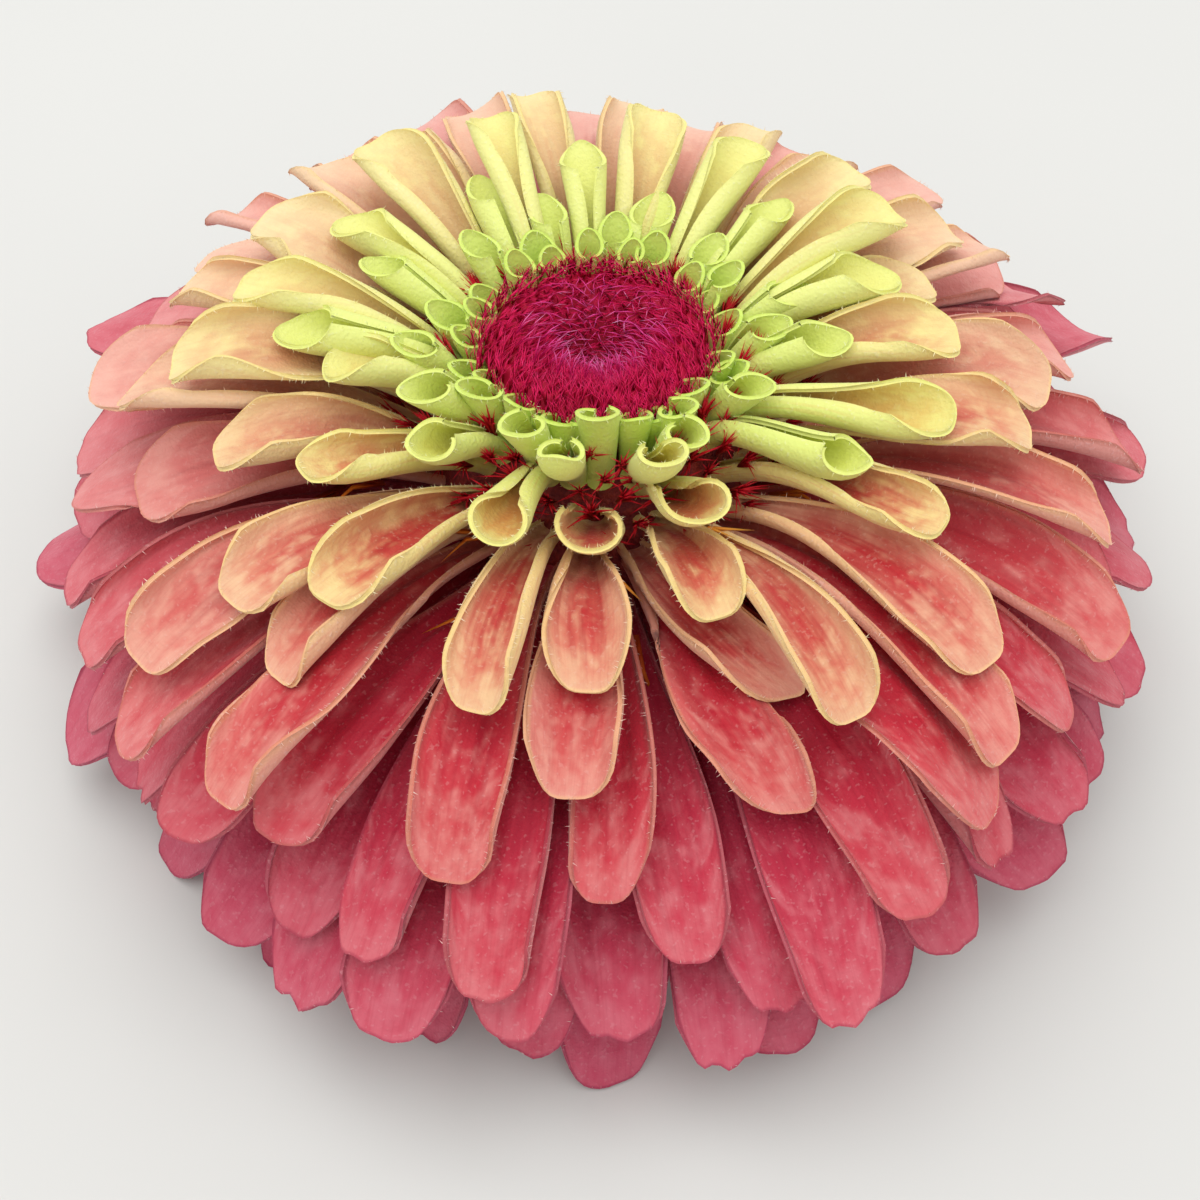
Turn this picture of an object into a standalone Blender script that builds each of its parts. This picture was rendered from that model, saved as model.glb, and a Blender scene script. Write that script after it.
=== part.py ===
import math

import bmesh
import bpy
import numpy as np
from mathutils import Matrix, Vector
from mathutils.geometry import intersect_line_line_2d
from mathutils.kdtree import KDTree

# Driving dimensions of the bloom, in millimetres and degrees.
BLOOM_RADIUS = 39.8
SURFACE_LEVEL = -9.0
BLADE_THICKNESS = 0.6
QUILL_WALL = 0.6
ROOT_HANDLE = 0.38
TIP_HANDLE = 0.34
FRONT_NARROWING = 0.20
BACK_NARROWING = 0.12
LOOSE_TURN = 2.2
LOOSE_REACH = 0.035
LOOSE_BUD_REACH = 0.015
LOOSE_HEIGHT = 0.4
SWAY = 0.05
SECTION_STEPS = 24
GOLDEN_ANGLE = 137.50776
FIRST_TURN = 237.0
FLORET_COUNT = 196
LOW_FLORETS = 9
FIRST_QUILL = 150
FIRST_BUD = 181
STEM_RADIUS = 2.9
BRACT_ROWS = [(7, 7.2, 1.3), (6, 7.2, -0.1), (5, 6.8, -1.7)]
BRACT_LENGTH = 4.6
CUP_HEIGHTS = [-7, -5.3, -3.4, -1.2, 2.4]
CUP_RADII = [2.6, 4.9, 7.0, 8.3, 9.0]
DISC_BRISTLES = 30
BRISTLE_LENGTH = 2.4
BRISTLE_RADIUS = 0.42
BRISTLE_SPREAD = 7.0
NEAREST_CORNERS = 0.003
FLATTEST_TRIANGLE = 0.002
SHARP_ANGLE = 38
MM = 0.001

# Florets are numbered upwards: 0 is the lowest, oldest ray, 195 the youngest quill.
# Each row below gives one measure of the florets at these numbers.
STATION = [0, 21, 55, 89, 115, 136, 149.5, 157, 170, 182, 195]
TIP_REACH = [0.917, 0.995, 1.0, 0.905, 0.799, 0.683, 0.575, 0.528, 0.402, 0.302, 0.226]
TIP_HEIGHT = [-8.5, -3.5, 2.0, 8.0, 13.3, 17.2, 19.3, 20.6, 21.6, 21.9, 21.2]
BACK_LIFT = [0.0, 0.5, 1.0, 1.5, 2.0, 2.0, 2.2, 2.3, 0.0, -1.0, -0.9]
ROOT_RADIUS = [8.3, 9.4, 10.2, 10.6, 10.3, 9.8, 9.2, 8.9, 8.3, 7.8, 7.3]
ROOT_HEIGHT = [3.4, 4.4, 6.4, 8.7, 10.6, 12.0, 12.7, 15.3, 16.0, 16.6, 17.0]
RISE = [-5, 8, 20, 28, 36, 44, 48, 60, 70, 78, 84]
FALL = [-42, -38, -36, -38, -40, -34, -12, 0, 45, 68, 78]
WIDTH = [8.0, 8.0, 7.6, 7.1, 6.8, 7.0, 7.8, 8.6, 8.4, 6.6, 4.0]
TIP_ROLL = [-35, -40, -45, -20, 40, 120, 190, 240, 290, 300, 300]
ROOT_ROLL = [70, 75, 80, 90, 100, 120, 130, 280, 290, 300, 300]
ROLL_FROM = [0.05, 0.05, 0.05, 0.05, 0.10, 0.20, 0.30, 0.40, 0.50, 0.50, 0.50]
ROLL_TO = [0.45, 0.45, 0.45, 0.50, 0.60, 0.75, 0.90, 1.0, 1.0, 1.0, 1.0]
SIDE_REACH = [0.0, 0.0, 0.0, 0.4, 1.2, 1.8, 2.2, 2.8, 2.2, 0.6, 0.0]

# Florets that stand apart from the rule, as turn in degrees, reach and lift in mm, and sway in mm.
NUDGES = {
    5: (3, 0, 0), 13: (-2, -1.5, 0), 21: (7, -3.5, 1), 24: (2, 0, 0), 29: (1, -1.5, 0), 31: (-9, -1.5, 0),
    36: (2, -1, 0), 39: (-3, 0, 0), 42: (0, -2.5, 0), 46: (-3, 4.5, 2.5), 47: (-3, 0, 0), 50: (3, -1, 0),
    53: (4, 3.5, 2), 55: (5, -3, 0.5), 57: (1, -1.5, 0), 60: (-4, 0, 0), 63: (-1, -2.5, 0), 65: (-6, 1.5, 0),
    68: (4, 0.5, 0), 73: (-2, -1.5, 0), 76: (4, 0, 0), 81: (1, 0, -1), 86: (6, 3.5, 0), 89: (3, -1.5, 1),
    92: (0, 0, 0), 96: (1, 1, 0), 99: (2, 1, 0), 102: (2, 0.5, 0), 104: (-3, 3, 0), 105: (-4, -1, 0),
    107: (-1, -1.5, 0), 109: (3, -1.5, 0), 110: (4, 3.5, -0.5), 112: (-2, 4, 0), 115: (5, -2.5, 0),
    117: (-8, 0.5, 0), 118: (4, 1.5, 0), 120: (-14, -6.5, 0), 123: (-14, -2, 0), 125: (-11, 2.5, 0),
    126: (-4, 0, 0), 128: (-9, -4, 1.5), 131: (0, -1.5, 0), 133: (-10, 2.5, 0), 134: (-4, -0.5, 0),
    135: (-4, -1.5, 0), 139: (-4, -1, 0), 141: (1, -2.5, 0.5), 142: (4, -1, 0), 143: (1, -4, 0),
    146: (4, 0, 0), 147: (-2, 1.5, 0), 149: (1, -5.5, 0), 151: (8, -1, 0), 154: (-9, -2.5, 0.5),
    155: (8, 0.5, 0), 156: (0, 0, 0), 157: (1, 0.5, 0), 159: (4, 1, 0), 160: (-4, -5.5, 0),
    162: (5, -3, 1.5), 163: (4, 0.5, 0), 164: (10, 0.5, 0), 165: (-3, -2.5, 0), 167: (10, 2.5, -0.5),
    168: (6, 0.5, 0), 172: (10, -1.5, 0), 173: (5, -2, 0), 175: (5, 0, 0), 176: (3, 1, 0),
}
SWAYS = {107: 5.5, 120: 7.0}

# The disc's outline, foot and top: radius and height.
DISC_FOOT = [(0, 17.9), (6.2, 17.9), (6.7, 18.7), (7.2, 19.6), (7.6, 20.5)]
DISC_TOP = [(7.3, 21.3), (6.3, 21.7), (5.0, 21.8), (3.8, 21.5), (2.6, 20.9), (1.4, 20.2), (0, 19.8)]

# The surface that parts the rays below from the quills above: radius and height, and the radius
# that no quill passes.
PARTING = [(0, 14.1), (9.5, 14.1), (11.5, 15.2), (14, 16.4), (18, 17.6), (23.0, 18.3), (25.6, 18.7), (28, 30)]
QUILL_LIMIT = 25.6
PARTING_TILT = 2.2
PARTING_GAP = 0.35


def clear_scene():
    for item in list(bpy.data.objects):
        bpy.data.objects.remove(item)


def make_collection(name):
    collection = bpy.data.collections.new(name)
    bpy.context.scene.collection.children.link(collection)
    return collection


def make_material(name, color, roughness):
    material = bpy.data.materials.new(name)
    material.use_nodes = True
    shader = material.node_tree.nodes["Principled BSDF"]
    shader.inputs["Base Color"].default_value = (*color, 1.0)
    shader.inputs["Roughness"].default_value = roughness
    shader.inputs["Metallic"].default_value = 0.0
    return material


def measure(row, number):
    return float(np.interp(number, STATION, row))


def ease(value):
    value = np.clip(value, 0.0, 1.0)
    return value * value * (3.0 - 2.0 * value)


def draw_chances(number):
    return np.random.RandomState(500 + number).normal(size=12)


def floret_turn(number, chance):
    loose = NUDGES[number][0] if number in NUDGES else LOOSE_TURN * chance[0]
    return math.radians(FIRST_TURN + loose - number * GOLDEN_ANGLE)


def floret_tip(number, chance, turn):
    loose = LOOSE_REACH if number < FIRST_BUD else LOOSE_BUD_REACH
    reach = BLOOM_RADIUS * measure(TIP_REACH, number) * (1 + loose * chance[1])
    reach += measure(SIDE_REACH, number) * math.cos(turn) ** 2
    height = measure(TIP_HEIGHT, number) + measure(BACK_LIFT, number) * math.sin(turn)
    if number < LOW_FLORETS:
        height = measure(TIP_HEIGHT, 0)
    else:
        height += chance[2] * LOOSE_HEIGHT
    _, more_reach, more_height = NUDGES.get(number, (0, 0, 0))
    return reach + more_reach, height + more_height


def center_line(root, tip, rise, fall, along):
    """Point and direction along a Bezier arc from root to tip, in a radial plane."""
    chord = math.dist(root, tip)
    first = np.array(root)
    last = np.array(tip)
    second = first + ROOT_HANDLE * chord * np.array([math.cos(rise), math.sin(rise)])
    third = last - TIP_HANDLE * chord * np.array([math.cos(fall), math.sin(fall)])
    s = along[:, None]
    r = 1 - s
    point = r**3 * first + 3 * r**2 * s * second + 3 * r * s**2 * third + s**3 * last
    slope = r**2 * (second - first) + 2 * r * s * (third - second) + s**2 * (last - third)
    slope /= np.linalg.norm(slope, axis=1)[:, None]
    return point, slope


def rolled_section(across, half_width, roll, power, lean):
    """Sideways and upward offsets of a blade whose margins roll up by an angle."""
    steps = (np.arange(SECTION_STEPS) + 0.5) / SECTION_STEPS
    reach = np.abs(across)[:, None] * steps
    bend = roll[:, None] / 2 * lean[:, None] * reach**power
    side = np.cos(bend).mean(1) * half_width * across
    lift = np.sin(bend).mean(1) * half_width * np.abs(across)
    return side, lift


def floret_width(number, chance, turn):
    """Width of a blade: less at the front and the back, where the rays stand closer."""
    front, behind = max(0.0, -math.sin(turn)), max(0.0, math.sin(turn))
    closing = 1 - ease((number - 158) / 12)
    narrowed = FRONT_NARROWING * front * ease((number - 20) / 40) * closing
    narrowed += BACK_NARROWING * behind * ease((number - 40) / 40) * closing
    return measure(WIDTH, number) * (1 + 0.06 * chance[4]) * (1 - float(narrowed))


def floret_surface(number, across, along):
    """Points of one floret's blade for across -1 to 1 and along 0 to 1, in mm."""
    chance = draw_chances(number)
    inner = float(ease((number - 100) / 60))
    turn = floret_turn(number, chance)
    tip = floret_tip(number, chance, turn)
    root = (measure(ROOT_RADIUS, number), measure(ROOT_HEIGHT, number))
    lift = measure(BACK_LIFT, number) * math.sin(turn)
    rise = math.radians(measure(RISE, number) + 3.2 * lift)
    fall = math.radians(measure(FALL, number) + 2.0 * lift + 6 * chance[3])
    width = floret_width(number, chance, turn)
    chord = math.dist(root, tip)
    blunt = 2.4 if number < 120 else 3.0
    round_off = (0.54 - 0.42 * float(ease((number - 118) / 45))) * width / (chord * 1.08)
    cut = round_off * (1 - (1 - np.abs(across) ** blunt).clip(0) ** (1 / blunt))
    s = along * (1 - cut)
    point, slope = center_line(root, tip, rise, fall, s)
    claw = 0.22 + 0.26 * inner
    wall = BLADE_THICKNESS * math.radians(max(measure(TIP_ROLL, number), 0))
    half = (width - wall) / 2 * (claw + (1 - claw) * ease(s / 0.85)) * (1 - 0.06 * ease((s - 0.75) / 0.25))
    start, end = measure(ROLL_FROM, number), measure(ROLL_TO, number)
    opened = ease((s - start) / (end - start))
    tip_roll = math.radians(measure(TIP_ROLL, number) + 14 * chance[7] * (1 - 0.6 * inner))
    roll = math.radians(measure(ROOT_ROLL, number)) * (1 - opened) + tip_roll * opened
    lean = 1 + 0.35 * math.tanh(chance[8]) * np.sign(across) * (1 - 0.7 * inner)
    side, up = rolled_section(across, half, roll, 1.8 - 0.8 * inner, lean)
    twist = math.radians(7 * chance[9] * (1 - 0.5 * inner)) * ease(s)
    side, up = side * np.cos(twist) - up * np.sin(twist), side * np.sin(twist) + up * np.cos(twist)
    side += (SWAY * chance[10] * chord + SWAYS.get(number, 0.0)) * s**2
    radius = point[:, 0] - slope[:, 1] * up
    height = point[:, 1] + slope[:, 0] * up
    height = part_rays_from_quills(number, radius, height, side, turn)
    height = np.maximum(height, SURFACE_LEVEL + 0.4)
    x = radius * math.cos(turn) - side * math.sin(turn)
    y = radius * math.sin(turn) + side * math.cos(turn)
    return np.stack([x, y, height], axis=1)


def part_rays_from_quills(number, radius, height, side, turn):
    """Keep rays under and quills over the parting surface, each by its own margin."""
    away = np.hypot(radius, side)
    if number >= FIRST_QUILL:
        away = np.minimum(away, QUILL_LIMIT)
    limit = np.interp(away, *np.array(PARTING).T)
    limit = limit + PARTING_TILT * math.sin(turn) * ease((away - 12) / 8)
    layer = PARTING_GAP * (number * 0.618 % 1.0)
    if number < FIRST_QUILL:
        return np.minimum(height, limit - PARTING_GAP - layer)
    return np.maximum(height, limit + PARTING_GAP + 0.1 + QUILL_WALL + layer)


def add_blade(name, number, columns, rows, thickness, collection):
    """A floret as a closed blade: a grid laid on its surface and thickened outwards."""
    shape = bmesh.new()
    bmesh.ops.create_grid(shape, x_segments=columns, y_segments=rows, size=1.0)
    across = np.array([vertex.co.x for vertex in shape.verts])
    along = np.array([(vertex.co.y + 1) / 2 for vertex in shape.verts])
    across = np.sin(across * math.pi / 2 * 0.8) / math.sin(math.pi / 2 * 0.8)
    along = along**0.85
    for vertex, point in zip(shape.verts, floret_surface(number, across, along)):
        vertex.co = Vector(point) * MM
    thicken(shape, thickness)
    return add_object(name, shape, collection)


def thicken(shape, thickness):
    bmesh.ops.triangulate(shape, faces=shape.faces[:])
    shape.normal_update()
    bmesh.ops.solidify(shape, geom=shape.faces[:], thickness=-thickness * MM)
    bmesh.ops.recalc_face_normals(shape, faces=shape.faces[:])
    if shape.calc_volume(signed=True) < 0:
        bmesh.ops.reverse_faces(shape, faces=shape.faces[:])
    for vertex in shape.verts:
        vertex.co.z = max(vertex.co.z, SURFACE_LEVEL * MM)


def add_bud(name, number, collection):
    """A young quill as a slim six-sided tube end, still almost closed."""
    chance = draw_chances(number)
    turn = floret_turn(number, chance)
    reach, top = floret_tip(number, chance, turn)
    root = Vector((measure(ROOT_RADIUS, number), 0, measure(ROOT_HEIGHT, number)))
    tip = Vector((reach, 0, top))
    young = (number - FIRST_BUD) / (FLORET_COUNT - 1 - FIRST_BUD)
    wide = (1.35 - 0.65 * young) * (1 + 0.08 * chance[4])
    shape = bmesh.new()
    bmesh.ops.create_cone(shape, cap_ends=True, segments=6, radius1=0.6 * wide * MM,
                          radius2=wide * MM, depth=(tip - root).length * MM)
    rim = [face for face in shape.faces if face.calc_center_median().z > 0.4 * MM and len(face.verts) == 6]
    bmesh.ops.poke(shape, faces=rim, offset=-0.7 * wide * MM)
    turned = (tip - root).to_track_quat("Z", "Y").to_matrix().to_4x4()
    place = Matrix.Rotation(turn, 4, "Z") @ Matrix.Translation((root + tip) / 2 * MM) @ turned
    bmesh.ops.transform(shape, matrix=place, verts=shape.verts)
    return add_object(name, shape, collection)


def add_object(name, shape, collection):
    mesh = bpy.data.meshes.new(name)
    shape.to_mesh(mesh)
    shape.free()
    item = bpy.data.objects.new(name, mesh)
    collection.objects.link(item)
    return item


def add_turned(name, profile, steps, collection):
    """A turned solid: a profile from its foot on the axis to its top on the axis."""
    mesh = bpy.data.meshes.new(name)
    points = [(radius * MM, 0, height * MM) for radius, height in reversed(profile)]
    mesh.from_pydata(points, [(i, i + 1) for i in range(len(points) - 1)], [])
    item = bpy.data.objects.new(name, mesh)
    collection.objects.link(item)
    screw = item.modifiers.new("Turn", "SCREW")
    screw.steps = steps
    screw.render_steps = steps
    screw.use_merge_vertices = True
    screw.merge_threshold = 0.00001
    apply_modifiers(item)
    return item


def apply_modifiers(item):
    graph = bpy.context.evaluated_depsgraph_get()
    mesh = bpy.data.meshes.new_from_object(item.evaluated_get(graph))
    item.modifiers.clear()
    item.data = mesh


def join_repeats(core, repeats):
    """Fuse a collection of blades into the core they grow from."""
    union = core.modifiers.new("Union", "BOOLEAN")
    union.operation = "UNION"
    union.operand_type = "COLLECTION"
    union.collection = repeats
    union.solver = "MANIFOLD"
    apply_modifiers(core)
    for item in list(repeats.objects):
        bpy.data.objects.remove(item)
    bpy.data.collections.remove(repeats)
    keep_body(core)


def keep_body(item):
    """Keep the outer skin of the largest body: sealed hollows fill, loose scraps drop."""
    shape = bmesh.new()
    shape.from_mesh(item.data)
    split_into_triangles(shape)
    left = set(shape.faces)
    skins = []
    while left:
        skin = grow_skin(left.pop())
        left -= skin
        skins.append(skin)
    skins.sort(key=skin_volume)
    for skin in skins[:-1]:
        bmesh.ops.delete(shape, geom=list(skin), context="FACES")
    loose = [vertex for vertex in shape.verts if not vertex.link_faces]
    bmesh.ops.delete(shape, geom=loose, context="VERTS")
    spread_corners(shape, NEAREST_CORNERS)
    flip_slivers(shape, FLATTEST_TRIANGLE)
    shape.to_mesh(item.data)
    shape.free()
    item.data.update()


def split_into_triangles(shape):
    """Triangulate so that no two flat faces share a diagonal."""
    for _ in range(8):
        trial = shape.copy()
        bmesh.ops.triangulate(trial, faces=trial.faces[:])
        trial.verts.index_update()
        pairs = [[vertex.index for vertex in edge.verts] for edge in trial.edges
                 if len(edge.link_faces) != 2]
        trial.free()
        if not pairs:
            break
        shape.verts.ensure_lookup_table()
        for first, second in pairs:
            part_corners(shape, shape.verts[first], shape.verts[second])
    bmesh.ops.triangulate(shape, faces=shape.faces[:])


def spread_corners(shape, gap):
    """Move corners that all but coincide apart, to a gap in mm."""
    shape.normal_update()
    shape.verts.ensure_lookup_table()
    tree = KDTree(len(shape.verts))
    for index, vertex in enumerate(shape.verts):
        tree.insert(vertex.co, index)
    tree.balance()
    for index, vertex in enumerate(shape.verts):
        for _, other_index, distance in tree.find_range(vertex.co, gap * MM / 2):
            if other_index > index:
                other = shape.verts[other_index]
                away = other.co - vertex.co if distance > 1e-9 else -vertex.normal
                other.co += away.normalized() * (gap * MM - distance)


def flip_slivers(shape, least):
    """Turn the long edge of each triangle that is flatter than a height in mm."""
    for _ in range(6):
        slivers = [face for face in shape.faces if triangle_height(face) < least * MM]
        turned = 0
        for face in slivers:
            if face.is_valid and triangle_height(face) < least * MM:
                longest = max(face.edges, key=lambda edge: edge.calc_length())
                ends = [vertex for near in longest.link_faces for vertex in near.verts
                        if vertex not in longest.verts]
                if len(ends) == 2 and not shape.edges.get(ends):
                    turned += bmesh.utils.edge_rotate(longest) is not None
        if not turned:
            break


def triangle_height(face):
    return 2 * face.calc_area() / max(edge.calc_length() for edge in face.edges)


def part_corners(shape, first, second):
    """Split one face that holds both corners along a line that runs between them."""
    for face in sorted(first.link_faces, key=lambda face: len(face.verts)):
        corners = list(face.verts)
        if second not in corners:
            continue
        start = corners.index(first)
        corners = corners[start:] + corners[:start]
        stop = corners.index(second)
        for one in corners[1:stop]:
            for other in corners[stop + 1:]:
                if not shape.edges.get((one, other)) and lies_inside(face, one, other):
                    bmesh.utils.face_split(face, one, other)
                    return


def lies_inside(face, one, other):
    """Whether the line between two corners stays within a flat face."""
    flat = face.normal.to_track_quat("Z", "Y").inverted()
    ring = [(flat @ vertex.co).to_2d() for vertex in face.verts]
    corners = list(face.verts)
    a, b = ring[corners.index(one)], ring[corners.index(other)]
    middle = (a + b) / 2
    inside = False
    for start, end in zip(ring, ring[1:] + ring[:1]):
        if start not in (a, b) and end not in (a, b):
            if intersect_line_line_2d(a, b, start, end):
                return False
        if (start.y > middle.y) != (end.y > middle.y):
            reach = start.x + (middle.y - start.y) / (end.y - start.y) * (end.x - start.x)
            inside ^= middle.x < reach
    return inside


def grow_skin(seed):
    skin = {seed}
    front = [seed]
    while front:
        face = front.pop()
        for edge in face.edges:
            for other in edge.link_faces:
                if other not in skin:
                    skin.add(other)
                    front.append(other)
    return skin


def skin_volume(skin):
    total = 0.0
    for face in skin:
        a, b, c = (vertex.co for vertex in face.verts[:3])
        total += a.dot(b.cross(c)) / 6
    return total


def finish(item, material):
    item.data.materials.clear()
    item.data.materials.append(material)
    item.data.shade_smooth()
    item.data.set_sharp_from_angle(angle=math.radians(SHARP_ANGLE))


def add_ray_florets(parts):
    """Every open ray, from the drooping lowest tier to the coral spoons."""
    core = add_turned("ray_florets", [(0, 2.6), (8.4, 2.6), (11.0, 3.9), (12.3, 6.0), (12.8, 8.6),
                                      (12.4, 10.8), (11.2, 12.6), (9.3, 13.8), (0, 13.8)], 20, parts)
    repeats = make_collection("ray_blades")
    for number in range(FIRST_QUILL):
        columns = 2 if number < 40 else 3
        add_blade(f"ray_{number}", number, columns, 2, BLADE_THICKNESS, repeats)
    join_repeats(core, repeats)
    finish(core, make_material("ray_coral", (0.62, 0.16, 0.17), 0.6))


def add_quill_florets(parts):
    """The young rays round the disc, still rolled into tubes."""
    core = add_turned("quill_florets", [(0, 14.1), (9.3, 14.1), (9.5, 15.4), (9.2, 16.6),
                                        (8.2, 17.6), (0, 17.6)], 20, parts)
    repeats = make_collection("quill_blades")
    for number in range(FIRST_QUILL, FIRST_BUD):
        add_blade(f"quill_{number}", number, 4, 2, QUILL_WALL, repeats)
    for number in range(FIRST_BUD, FLORET_COUNT):
        add_bud(f"bud_{number}", number, repeats)
    join_repeats(core, repeats)
    finish(core, make_material("quill_lime", (0.55, 0.62, 0.13), 0.6))


def add_stem_and_involucre(parts):
    """The nipped-off stem, widening into a green cup clad in overlapping bracts."""
    core = add_turned("stem_and_involucre", [
        (0, SURFACE_LEVEL), (2.6, SURFACE_LEVEL), (STEM_RADIUS, -8.7), (2.8, -7.6), (3.3, -6.5),
        (5.0, -5.3), (7.2, -3.4), (8.4, -1.2), (8.8, 0.6), (8.3, 2.0), (7.4, 2.3), (0, 2.3)], 16, parts)
    repeats = make_collection("bract_blades")
    for row, (count, wide, top) in enumerate(BRACT_ROWS):
        for place in range(count):
            turn = (place + row / 3) * 2 * math.pi / count
            add_bract(f"bract_{row}_{place}", turn, row, wide, top, repeats)
    join_repeats(core, repeats)
    finish(core, make_material("stem_green", (0.14, 0.26, 0.07), 0.65))


def add_bract(name, turn, row, wide, top, collection):
    """One blunt scale leaf hugging the cup."""
    chance = np.random.RandomState(int(turn * 100) + 70 * row).normal(size=3)
    turn += 0.03 * chance[0]
    wide *= 1 + 0.04 * chance[1]
    top += 0.15 * chance[2]
    foot = top - BRACT_LENGTH
    shape = bmesh.new()
    bmesh.ops.create_grid(shape, x_segments=2, y_segments=2, size=1.0)
    for vertex in shape.verts:
        across, along = vertex.co.x, (vertex.co.y + 1) / 2
        side = across * wide / 2 * (0.8 + 0.5 * along - 0.75 * along**3)
        height = foot + BRACT_LENGTH * along * (1 - 0.12 * across**2)
        radius = np.interp(height, CUP_HEIGHTS, CUP_RADII)
        radius += (0.8 + 0.1 * row) * along**2 - 0.15 - 0.04 * side**2
        vertex.co = Vector((radius, side, height)) * MM
    thicken(shape, BLADE_THICKNESS)
    bmesh.ops.rotate(shape, verts=shape.verts, matrix=Matrix.Rotation(turn, 3, "Z"))
    return add_object(name, shape, collection)


def add_disc_florets(parts):
    """The crimson disc: a mound with a dimple, in swirling relief, set with bristles."""
    core = add_turned("disc_florets", DISC_FOOT + DISC_TOP, 30, parts)
    for vertex in core.data.vertices:
        radius = math.hypot(vertex.co.x, vertex.co.y) / MM
        turn = math.atan2(vertex.co.y, vertex.co.x)
        relief = 0.2 * math.sin(16 * turn + 3.1 * radius) * float(ease(radius / 2.5))
        if vertex.co.z > 20 * MM:
            vertex.co.z += relief * MM
    repeats = make_collection("disc_bristles")
    for number in range(DISC_BRISTLES):
        add_bristle(f"bristle_{number}", number, repeats)
    join_repeats(core, repeats)
    finish(core, make_material("disc_crimson", (0.33, 0.01, 0.05), 0.55))


def add_bristle(name, number, collection):
    """One coarse three-sided bristle that stands on the disc's top."""
    turn = math.radians(GOLDEN_ANGLE * number)
    radius = BRISTLE_SPREAD * math.sqrt((number + 1.5) / (DISC_BRISTLES + 1.5))
    radii, heights = zip(*reversed(DISC_TOP))
    top = float(np.interp(radius, radii, heights))
    shape = bmesh.new()
    bmesh.ops.create_cone(shape, cap_ends=True, segments=3, radius1=BRISTLE_RADIUS * MM, radius2=0.0,
                          depth=BRISTLE_LENGTH * MM)
    bmesh.ops.remove_doubles(shape, verts=shape.verts[:], dist=0.00001)
    bmesh.ops.translate(shape, verts=shape.verts, vec=(0, 0, 0.4 * MM))
    tilt = Matrix.Rotation(math.radians(5.5 * radius - 14), 4, "Y")
    place = Matrix.Rotation(turn, 4, "Z") @ Matrix.Translation((radius * MM, 0, top * MM)) @ tilt
    bmesh.ops.transform(shape, matrix=place, verts=shape.verts)
    return add_object(name, shape, collection)


def set_on_origin(parts):
    """Move the bloom so that the middle of its foot is the origin."""
    corners = np.array([vertex.co for item in parts.objects for vertex in item.data.vertices])
    low, high = corners.min(axis=0), corners.max(axis=0)
    shift = Vector((-(low[0] + high[0]) / 2, -(low[1] + high[1]) / 2, -low[2]))
    for item in parts.objects:
        item.data.transform(Matrix.Translation(shift))


clear_scene()
bloom = make_collection("zinnia_bloom")
add_stem_and_involucre(bloom)
add_ray_florets(bloom)
add_quill_florets(bloom)
add_disc_florets(bloom)
set_on_origin(bloom)
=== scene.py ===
import math

import bpy
import numpy as np
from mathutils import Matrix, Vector


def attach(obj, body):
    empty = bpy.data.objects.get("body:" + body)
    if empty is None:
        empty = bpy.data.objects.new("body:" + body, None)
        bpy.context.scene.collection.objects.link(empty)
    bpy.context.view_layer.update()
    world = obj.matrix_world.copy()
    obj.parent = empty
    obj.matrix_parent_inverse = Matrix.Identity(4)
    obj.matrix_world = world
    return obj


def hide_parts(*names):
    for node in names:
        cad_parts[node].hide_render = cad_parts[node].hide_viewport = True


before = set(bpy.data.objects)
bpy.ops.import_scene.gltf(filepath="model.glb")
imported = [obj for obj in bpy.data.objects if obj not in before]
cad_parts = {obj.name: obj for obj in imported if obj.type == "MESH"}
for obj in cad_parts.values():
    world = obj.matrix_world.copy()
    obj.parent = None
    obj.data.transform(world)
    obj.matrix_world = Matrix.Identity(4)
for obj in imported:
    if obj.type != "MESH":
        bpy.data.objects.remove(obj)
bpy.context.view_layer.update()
mm = 0.001

# The whole flower: where its axis stands on the table, the spiral its florets follow, and their numbers.
bloom = {
    "centre": (0.6005, -0.3463, 9.0),
    "radius": 39.8,
    "lowest": -8.6,  # for the upper face of a petal
    "goldenAngle": 137.50776,
    "firstTurn": 237.0,
    "floretCount": 214,
    "lastTier": 195,  # the last floret number on the scales of colour
    "lowFlorets": 9,  # these lie level, all round
    "firstMiddle": 76,
    "firstQuill": 150,
    "firstBud": 181,
}

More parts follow.
